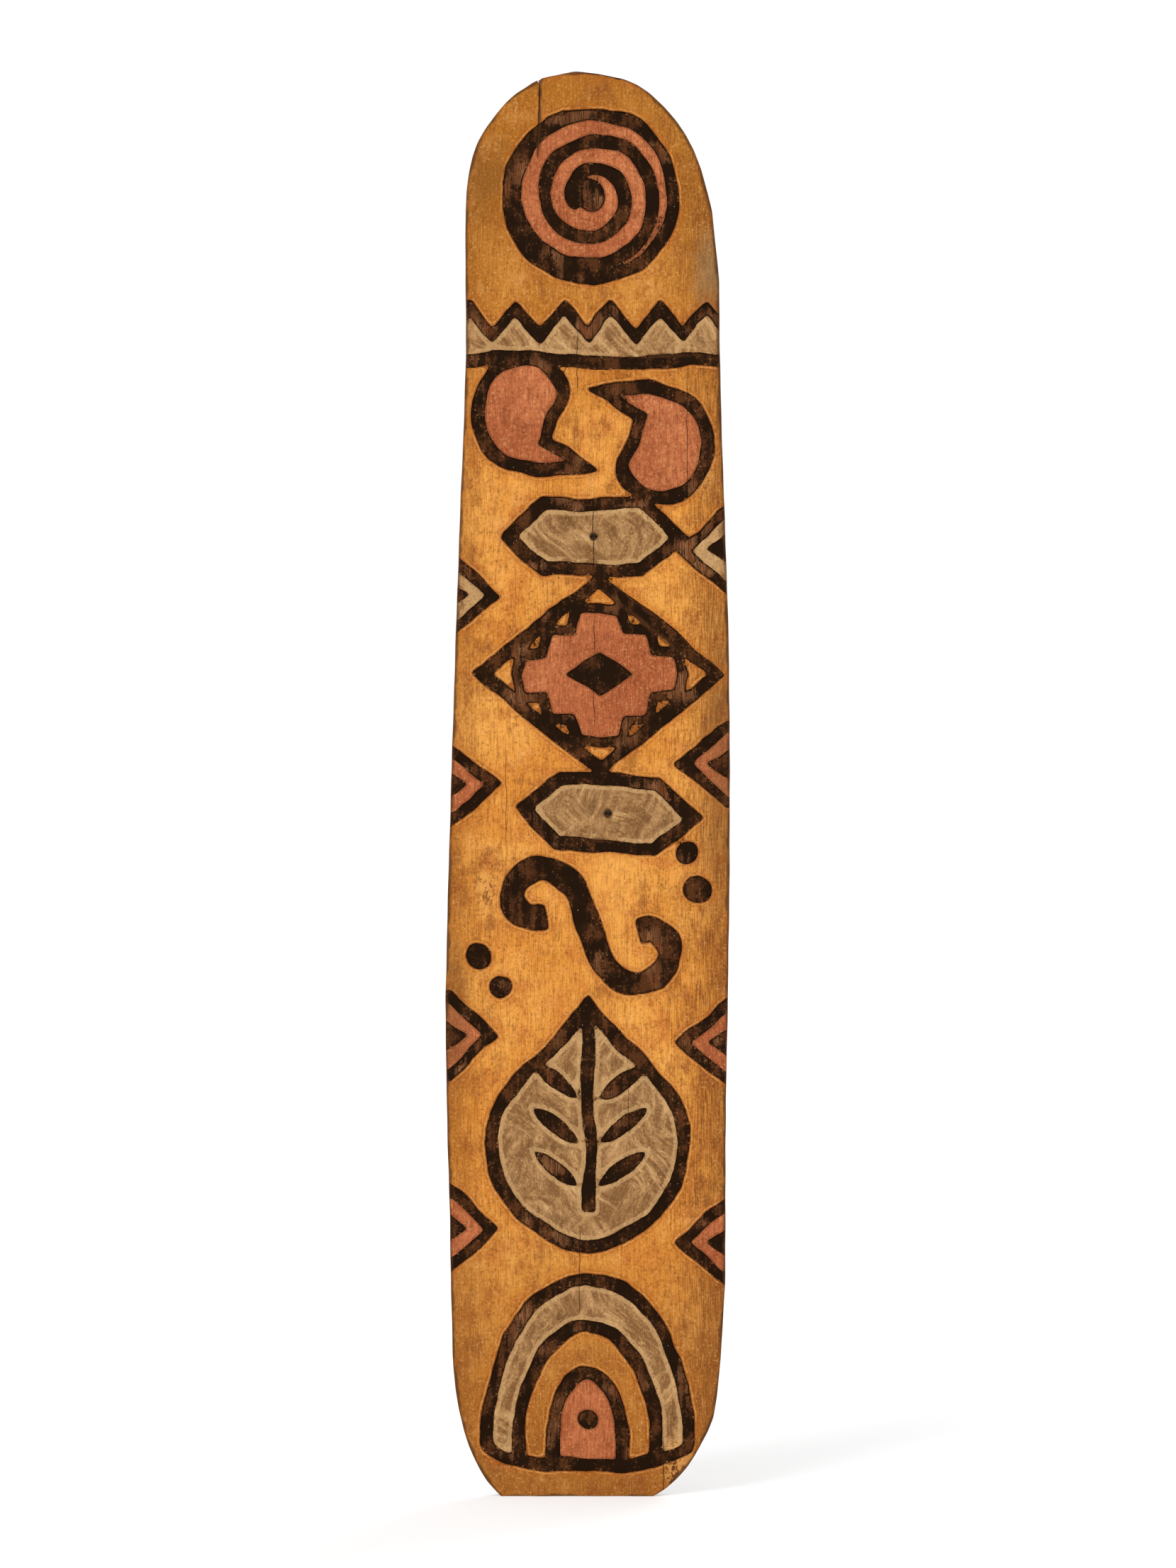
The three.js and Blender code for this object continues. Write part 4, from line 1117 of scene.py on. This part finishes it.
class Growth(Nodes):
    """A tree of geometry nodes whose inputs are named as it is built."""

    def __init__(self, name):
        super().__init__(bpy.data.node_groups.new(name, "GeometryNodeTree"))
        self.tree.interface.new_socket("Geometry", in_out="INPUT", socket_type="NodeSocketGeometry")
        self.tree.interface.new_socket("Geometry", in_out="OUTPUT", socket_type="NodeSocketGeometry")
        self.given = self.node("NodeGroupInput")

    def asked(self, name, kind="Float"):
        """A named input of the tree."""
        self.tree.interface.new_socket(name, in_out="INPUT", socket_type="NodeSocket" + kind)
        return self.given.outputs[name]

    def chain(self, socket, kind, inputs=(), **settings):
        """Passes geometry through one more node."""
        made = self.node(kind, inputs, **settings)
        self.feed(made.inputs[0], socket)
        return made.outputs[0]

    def mark(self, name, kind="FLOAT"):
        return self.node("GeometryNodeInputNamedAttribute", {"Name": name}, data_type=kind).outputs[0]

    def path(self):
        """The given path as a curve, with the length along it marked on its points."""
        length = self.node("GeometryNodeSplineParameter").outputs["Length"]
        curve = self.chain(self.given.outputs["Geometry"], "GeometryNodeMeshToCurve")
        marks = {"Name": "along", "Value": length}
        return self.chain(curve, "GeometryNodeStoreNamedAttribute", marks)

    def swept(self, path, section):
        """The body that a section makes along a path, with the places in the section marked."""
        place = self.node("GeometryNodeInputPosition").outputs[0]
        marks = {"Name": "section", "Value": place}
        section = self.chain(section, "GeometryNodeStoreNamedAttribute", marks, data_type="FLOAT_VECTOR")
        return self.chain(path, "GeometryNodeCurveToMesh", {
            "Profile Curve": section, "Scale": self.mark("swelling"), "Fill Caps": True,
        })

    def end(self, socket):
        """The whole tree, which ends as plain smooth geometry with its material."""
        finish = {"Material": self.asked("Finish", "Material")}
        socket = self.chain(socket, "GeometryNodeSetShadeSmooth")
        socket = self.chain(socket, "GeometryNodeRealizeInstances")
        socket = self.chain(socket, "GeometryNodeSetMaterial", finish)
        self.feed(self.node("NodeGroupOutput").inputs[0], socket)
        return self.tree


def round_cane_tree():
    """A round cane along a path, whose swellings are marked on the path's points."""
    growth = Growth("round_cane")
    circle = growth.node("GeometryNodeCurvePrimitiveCircle", {
        "Resolution": growth.asked("Sides", "Int"), "Radius": growth.asked("Radius"),
    }).outputs["Curve"]
    return growth.end(growth.swept(growth.path(), circle))


def made_plain(piece):
    """The piece, with what its modifiers make of it kept as its mesh."""
    depsgraph = bpy.context.evaluated_depsgraph_get()
    depsgraph.update()
    mesh = bpy.data.meshes.new_from_object(
        piece.evaluated_get(depsgraph), preserve_all_data_layers=True, depsgraph=depsgraph
    )
    piece.modifiers.clear()
    piece.data = mesh
    return piece


def grown(name, tree, points, inputs, **marks):
    """The body that a tree grows from a path of marked points, as one plain mesh."""
    path = bpy.data.meshes.new(name)
    joins = [(i, i + 1) for i in range(len(points) - 1)]
    path.from_pydata(points.tolist(), joins, [])
    for mark, values in marks.items():
        kind, field = ("FLOAT_VECTOR", "vector") if values.ndim == 2 else ("FLOAT", "value")
        made = path.attributes.new(mark, kind, "POINT")
        made.data.foreach_set(field, values.astype(np.float32).ravel())
    piece = placed(name, path)
    modifier = piece.modifiers.new("grown", "NODES")
    modifier.node_group = tree
    for item in tree.interface.items_tree:
        if item.name in inputs:
            modifier[item.identifier] = inputs[item.name]
    return made_plain(piece)


def head_y(hole):
    return CANE_SETBACK - face_at(*hole, FRONT_CROWN)


def wedge_shape(name, hole, up, width, clearance=0.0, overrun=0.0):
    """A wedge that tapers in from the head of a cane."""
    tip_y = head_y(hole) + WEDGE_LENGTH + clearance
    corners = []
    for y, thickness in ((head_y(hole) - overrun, WEDGE_HEAD), (tip_y, WEDGE_TIP)):
        half = thickness / 2 + clearance
        for side, way in ((-1, -1), (1, -1), (1, 1), (-1, 1)):
            corners.append((side * width / 2, y, up + way * half))
    faces = [(0, 1, 2, 3), (7, 6, 5, 4)]
    faces += [(i, i + 4, (i + 1) % 4 + 4, (i + 1) % 4) for i in range(4)]
    mesh = bpy.data.meshes.new(name)
    mesh.from_pydata(on_board(*np.array(corners).T).tolist(), [], faces)
    return placed(name, mesh)


def cane_skin(name, light, dark, ring, gloss):
    """Lengthwise fibres under a hard skin, with stains, a scar round each joint, and black soot with
    painted shade where it reaches into the holes.
    """
    skin = Finish(name, specular=gloss)
    section = skin.node("ShaderNodeAttribute", attribute_name="section").outputs["Vector"]
    section = skin.node("ShaderNodeSeparateXYZ", {0: section}).outputs
    follow = skin.node("ShaderNodeCombineXYZ", {
        0: skin.mark("along"), 1: section["X"], 2: section["Y"],
    }).outputs[0]
    fibre = skin.noise(CANE_FIBRE, detail=3, place=follow)
    stain = skin.noise(CANE_STAIN, detail=4, roughness=0.6)
    depth = skin.node("ShaderNodeSeparateXYZ", {0: skin.place}).outputs["Y"]
    colour = skin.layered(skin.shaded(fibre, 0.35, 0.65, light, dark), [
        (ring, 0.7, skin.between(stain, 0.46, 0.70)),
        (ring, 0.8, skin.between(skin.mark("joint"), 0.3, 0.9)),
        # black soot and painted shade of the holes, on the cane's ends near the front
        ((20, 12, 6), 0.9, skin.between(depth, SHADED_AND_SOOTED_TO, SHADED_AND_SOOTED_TO - SHADE_AND_SOOT_FADE)),
    ])
    skin.bump(fibre, CANE_RELIEF)
    return skin.done(colour, skin.math("ADD", skin.times(stain, 0.4), 0.3))


cane_tree = round_cane_tree()
browned_cane = cane_skin("browned_cane", (150, 104, 58), (116, 74, 40), (66, 42, 26), gloss=0.15)

legs = []
for _, hole, up in cane_ends:
    leg_steps = int((grip_back - head_y(hole)) / CANE_STEP)
    y = np.linspace(head_y(hole), grip_back, leg_steps, endpoint=False)
    legs.append(on_board(0.0, y, up))
bow_steps = int((fine_lengths[-1] - fine_lengths[0]) / CANE_STEP)
cane_path = np.vstack([
    legs[0],
    bow(bow_angle(np.linspace(fine_lengths[0], fine_lengths[-1], bow_steps))),
    legs[1][::-1],
])


def joint_marks(points, joints):
    """How near each point of a cane is to a joint, and how far the cane swells there."""
    along = lengths_along(points)
    away = np.abs(along[:, None] - np.array(joints)).min(axis=1)
    joint = np.exp(-((away / JOINT_LENGTH) ** 2))
    slow = sum(share * np.sin(along * turn) for share, turn in SLOW_SWELLS)
    return {"joint": joint, "swelling": 1 + JOINT_SWELL_share * joint + slow}


# The wedges spread the cane's ends until they fill the holes
bow_marks = joint_marks(cane_path, CANE_JOINTS)
from_end = lengths_along(cane_path)
from_end = np.minimum(from_end, from_end[-1] - from_end)
spread = smooth_step(from_end, 2 * WEDGE_LENGTH, WEDGE_LENGTH)
filled = (max(radius for _, radius, _ in holes) + PRESSED_IN) / (CANE_DIAMETER / 2)
bow_marks["swelling"] += spread * (filled - bow_marks["swelling"])

main_cane = grown(
    "bowed_cane", cane_tree, cane_path,
    {"Sides": CANE_SIDES, "Radius": CANE_DIAMETER / 2, "Finish": browned_cane},
    **bow_marks,
)
for _, hole, up in cane_ends:
    cutter = wedge_shape(
        "slot_cutter", hole, up, CANE_DIAMETER + CUT_OVERRUN, WEDGE_CLEARANCE, CUT_OVERRUN
    )
    slot = main_cane.modifiers.new("slot", "BOOLEAN")
    slot.operation = "DIFFERENCE"
    slot.object = cutter
    made_plain(main_cane)
    bpy.data.objects.remove(cutter)
main_cane.data.set_sharp_from_angle(angle=CANE_CREASE)
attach(main_cane, "root")
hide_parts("main_cane")


def fibres_tree():
    """Thin pointed fibres that stand on points, each with its own lean and length."""
    growth = Growth("frayed_fibres")
    thickness = growth.asked("Thickness")
    cone = growth.node("GeometryNodeMeshCone", {
        "Vertices": FIBRE_SIDES, "Side Segments": FIBRE_STEPS, "Depth": 1.0,
        "Radius Bottom": growth.math("MULTIPLY", thickness, 0.5),
        "Radius Top": growth.math("MULTIPLY", thickness, FIBRE_POINT_share),
    }).outputs[0]
    turn = growth.node("FunctionNodeAlignRotationToVector", {"Vector": growth.mark("lean", "FLOAT_VECTOR")})
    stretch = growth.node("ShaderNodeCombineXYZ", {0: 1.0, 1: 1.0, 2: growth.mark("reach")})
    stood = growth.chain(growth.given.outputs["Geometry"], "GeometryNodeInstanceOnPoints", {
        "Instance": cone, "Rotation": turn.outputs[0], "Scale": stretch.outputs[0],
    })
    return growth.end(stood)


def torn_cane():
    """The pale inside of a cane where it is torn."""
    torn = Finish("torn_cane", specular=0.1)
    streak = torn.noise(TORN_STREAK, detail=2)
    colour = torn.shaded(streak, 0.35, 0.65, (206, 172, 122), (132, 96, 58))
    dirt = torn.noise(TORN_DIRT, detail=1)
    colour = torn.over(colour, (52, 34, 21), torn.between(dirt, 0.44, 0.52), 0.85)
    torn.bump(streak, TORN_RELIEF)
    return torn.done(colour, 0.8)


def frayed_end(name, hole, up, seed):
    """A ring of torn fibres on the cane's head, clear of the wedge, and two that hang loose."""
    dice = np.random.default_rng(seed)
    bearing = np.linspace(0, 2 * math.pi, FIBRE_COUNT, endpoint=False)
    bearing += dice.uniform(0, FIBRE_JITTER, FIBRE_COUNT)
    out = CANE_DIAMETER / 2 * dice.uniform(*FIBRE_PLACE_shares, FIBRE_COUNT)
    reach = dice.uniform(*FIBRE_LENGTHS, FIBRE_COUNT)
    leaning = dice.uniform(*FIBRE_LEAN_shares, FIBRE_COUNT)
    loose_bearing, loose_reach = zip(*LOOSE_FIBRES)
    bearing = np.append(bearing, loose_bearing)
    out = np.append(out, [CANE_DIAMETER / 2 * LOOSE_PLACE_share] * len(LOOSE_FIBRES))
    reach = np.append(reach, loose_reach)
    leaning = np.append(leaning, [LOOSE_LEAN_share] * len(LOOSE_FIBRES))
    across, along = out * np.cos(bearing), out * np.sin(bearing)
    clear = np.abs(along) > WEDGE_HEAD / 2 + WEDGE_CLEARANCE + FIBRE_THICKNESS / 2
    points = on_board(across, head_y(hole) + FIBRE_THICKNESS / 4, up + along)[clear]
    outwards = np.outer(across, grip_across) + np.outer(along, grip_up)
    lean = np.column_stack([outwards[:, 0], -out / leaning, outwards[:, 1]])[clear]
    lean /= np.linalg.norm(lean, axis=1)[:, None]
    return grown(
        name, frayed_tree, points, {"Thickness": FIBRE_THICKNESS, "Finish": torn},
        lean=lean, reach=reach[clear],
    )


frayed_tree = fibres_tree()
torn = torn_cane()
for seed, (end, hole, up) in enumerate(cane_ends, start=FRAYING_SEED):
    fibres = frayed_end(end + "_frayed_end", hole, up, seed)
    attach(fibres, "root")


# The wedges
# Two slips of dark hardwood, whittled to a taper and hammered into the split ends of the cane
# from the front, which swells them tight in their holes.
WEDGE_CUTS = 5
WEDGE_BEVEL = 0.00025
WEDGE_BEVEL_STEPS = 2
WEDGE_CREASE = math.radians(50)
WHITTLED_WAVER = 0.00012
WHITTLING_SEED = 31
HARDWOOD_GRAIN = (0.0007, 0.012, 0.0007)
HARDWOOD_BRUISE = 0.0018
HARDWOOD_RELIEF = 0.0001


def whittled(piece, seed):
    """The wedge with its edges taken off and its sides made a little uneven."""
    bevel = piece.modifiers.new("edges", "BEVEL")
    bevel.width = WEDGE_BEVEL
    bevel.segments = WEDGE_BEVEL_STEPS
    made_plain(piece)
    work = bmesh.new()
    work.from_mesh(piece.data)
    long_edges = [edge for edge in work.edges if edge.calc_length() > 4 * WEDGE_BEVEL]
    bmesh.ops.subdivide_edges(work, edges=long_edges, cuts=WEDGE_CUTS, use_grid_fill=True)
    bmesh.ops.recalc_face_normals(work, faces=work.faces)
    dice = np.random.default_rng(seed)
    for vertex in work.verts:
        vertex.co += vertex.normal * WHITTLED_WAVER * (dice.random() - 1)
    work.to_mesh(piece.data)
    work.free()
    piece.data.shade_smooth()
    piece.data.set_sharp_from_angle(angle=WEDGE_CREASE)


def dark_hardwood():
    """Dark close-grained wood, bruised pale where the hammer struck, and darker still as painted shade of
    the hole that the wedge sits in.
    """
    wood = Finish("dark_hardwood", specular=0.05)
    grain = wood.noise(HARDWOOD_GRAIN, detail=3)
    bruise = wood.noise(HARDWOOD_BRUISE, detail=2)
    # The dark of this wood is deepened as painted shade of the holes
    colour = wood.shaded(grain, 0.35, 0.65, (58, 38, 24), (32, 21, 14))
    colour = wood.over(colour, (96, 66, 42), wood.between(bruise, 0.58, 0.70), 0.8)
    wood.bump(grain, HARDWOOD_RELIEF)
    return wood.done(colour, 0.7)


hardwood = dark_hardwood()
for seed, (end, hole, up) in enumerate(cane_ends, start=WHITTLING_SEED):
    name = end + "_wedge"
    wedge = wedge_shape("whittled_" + name, hole, up, WEDGE_WIDTH)
    whittled(wedge, seed)
    wedge.data.materials.append(hardwood)
    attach(wedge, "root")
    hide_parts(name)


# The side canes
# Two thinner canes laid along the bow, one on each side, so that it fills the hand. They are
# cut off just past the short windings that hold their ends.
SIDE_CANE_DIAMETER = 0.0068
SIDE_CANE_SIDES = 18
CANE_GAP = 0.0003
SIDE_CANE_REACH = 0.11475  # along the bow, from its middle to each end of a side cane
SIDE_CANE_JOINTS = {"left_side_cane": (0.031, 0.188), "right_side_cane": (0.092,)}

side_reach = CANE_DIAMETER / 2 + CANE_GAP + SIDE_CANE_DIAMETER / 2
side_steps = int(2 * SIDE_CANE_REACH / CANE_STEP)
side_angles = bow_angle(np.linspace(-SIDE_CANE_REACH, SIDE_CANE_REACH, side_steps))
for side, (name, joints) in zip((-1, 1), SIDE_CANE_JOINTS.items()):
    side_path = bow(side_angles, side * side_reach)
    side_cane = grown(
        "browned_" + name, cane_tree, side_path,
        {"Sides": SIDE_CANE_SIDES, "Radius": SIDE_CANE_DIAMETER / 2, "Finish": browned_cane},
        **joint_marks(side_path, joints),
    )
    side_cane.data.set_sharp_from_angle(angle=CANE_CREASE)
    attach(side_cane, "root")
    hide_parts(name)


# The windings
# Strips split from the skin of a cane, wound wet round the bundle, shiny side out, with each
# turn laid against the last: a long one where the hand holds, and a short one near each end.
STRIP_WIDTH = 0.006
STRIP_THICKNESS = 0.0014
STRIP_ROUND = 0.00045
STRIP_ROUND_STEPS = 3
STRIP_CLEARANCE = 0.0003
STRIP_CREASE = math.radians(60)
STRIP_SWELL_share = 0.02  # how much a strip swells and narrows
STRIP_SWELL_TURN = 0.37  # radians of that wave, from one point of its path to the next
TURN_GAP = 0.0005
WINDINGS = {  # node: place of its middle along the bow, number of turns
    "grip_wrap": (0.0, 19), "lower_end_wrap": (-0.090, 3), "upper_end_wrap": (0.090, 3),
}
ROUND_STEPS = 12
STRAIGHT_STEPS = 3


def strip_tree():
    """A flat strip with rounded edges along a path that marks which way is outwards."""
    growth = Growth("split_strip")
    outwards = {"Normal": growth.mark("outwards", "FLOAT_VECTOR")}
    path = growth.chain(growth.path(), "GeometryNodeSetCurveNormal", outwards, mode="FREE")
    section = growth.node("GeometryNodeCurvePrimitiveQuadrilateral", {
        "Width": growth.asked("Thickness"), "Height": growth.asked("Width"),
    }).outputs[0]
    rounding = {"Count": STRIP_ROUND_STEPS, "Radius": growth.asked("Round"), "Limit Radius": True}
    section = growth.chain(section, "GeometryNodeFilletCurve", rounding, mode="POLY")
    return growth.end(growth.swept(path, section))


def winding(middle, turns):
    """Points along the middle of a wound strip, and the way outwards at each."""
    reach = CANE_DIAMETER / 2 + STRIP_CLEARANCE + STRIP_THICKNESS / 2
    straight = CANE_GAP + SIDE_CANE_DIAMETER
    round_share = 4 / 9  # of a turn, the climb made on each half round
    turn = np.linspace(-math.pi / 2, math.pi / 2, ROUND_STEPS)
    over = np.arange(1, STRAIGHT_STEPS) / STRAIGHT_STEPS
    level = np.ones(len(over))
    half_across = np.append(straight + reach * np.cos(turn), straight * (1 - 2 * over))
    half_out = np.append(reach * np.sin(turn), reach * level)
    half_way = np.column_stack([np.append(np.cos(turn), 0 * over), np.append(np.sin(turn), level)])
    half_climb = np.append(
        round_share * (turn / math.pi + 1 / 2), round_share + (1 / 2 - round_share) * over
    )
    across = np.tile(np.append(half_across, -half_across), turns)
    out = np.tile(np.append(half_out, -half_out), turns)
    way = np.tile(np.vstack([half_way, -half_way]), (turns, 1))
    climb = np.tile(np.append(half_climb, half_climb + 1 / 2), turns)
    climb += np.repeat(np.arange(turns), 2 * len(half_climb)) - turns / 2
    angle = bow_angle(middle + climb * (STRIP_WIDTH + TURN_GAP))
    points = bow(angle, across, out)
    outwards = bow(angle, across + STRIP_WIDTH * way[:, 0], out + STRIP_WIDTH * way[:, 1]) - points
    return points, outwards / np.linalg.norm(outwards, axis=1)[:, None]


strips = strip_tree()
split_cane = cane_skin("split_cane", (190, 148, 92), (150, 108, 62), (84, 54, 30), gloss=0.5)
for name, (middle, turns) in WINDINGS.items():
    points, outwards = winding(middle, turns)
    uneven = 1 + STRIP_SWELL_share * np.sin(np.arange(len(points)) * STRIP_SWELL_TURN)
    wrap = grown(
        "wound_" + name, strips, points,
        {"Thickness": STRIP_THICKNESS, "Width": STRIP_WIDTH, "Round": STRIP_ROUND, "Finish": split_cane},
        outwards=outwards, swelling=uneven,
    )
    wrap.data.set_sharp_from_angle(angle=STRIP_CREASE)
    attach(wrap, "root")
    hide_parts(name)
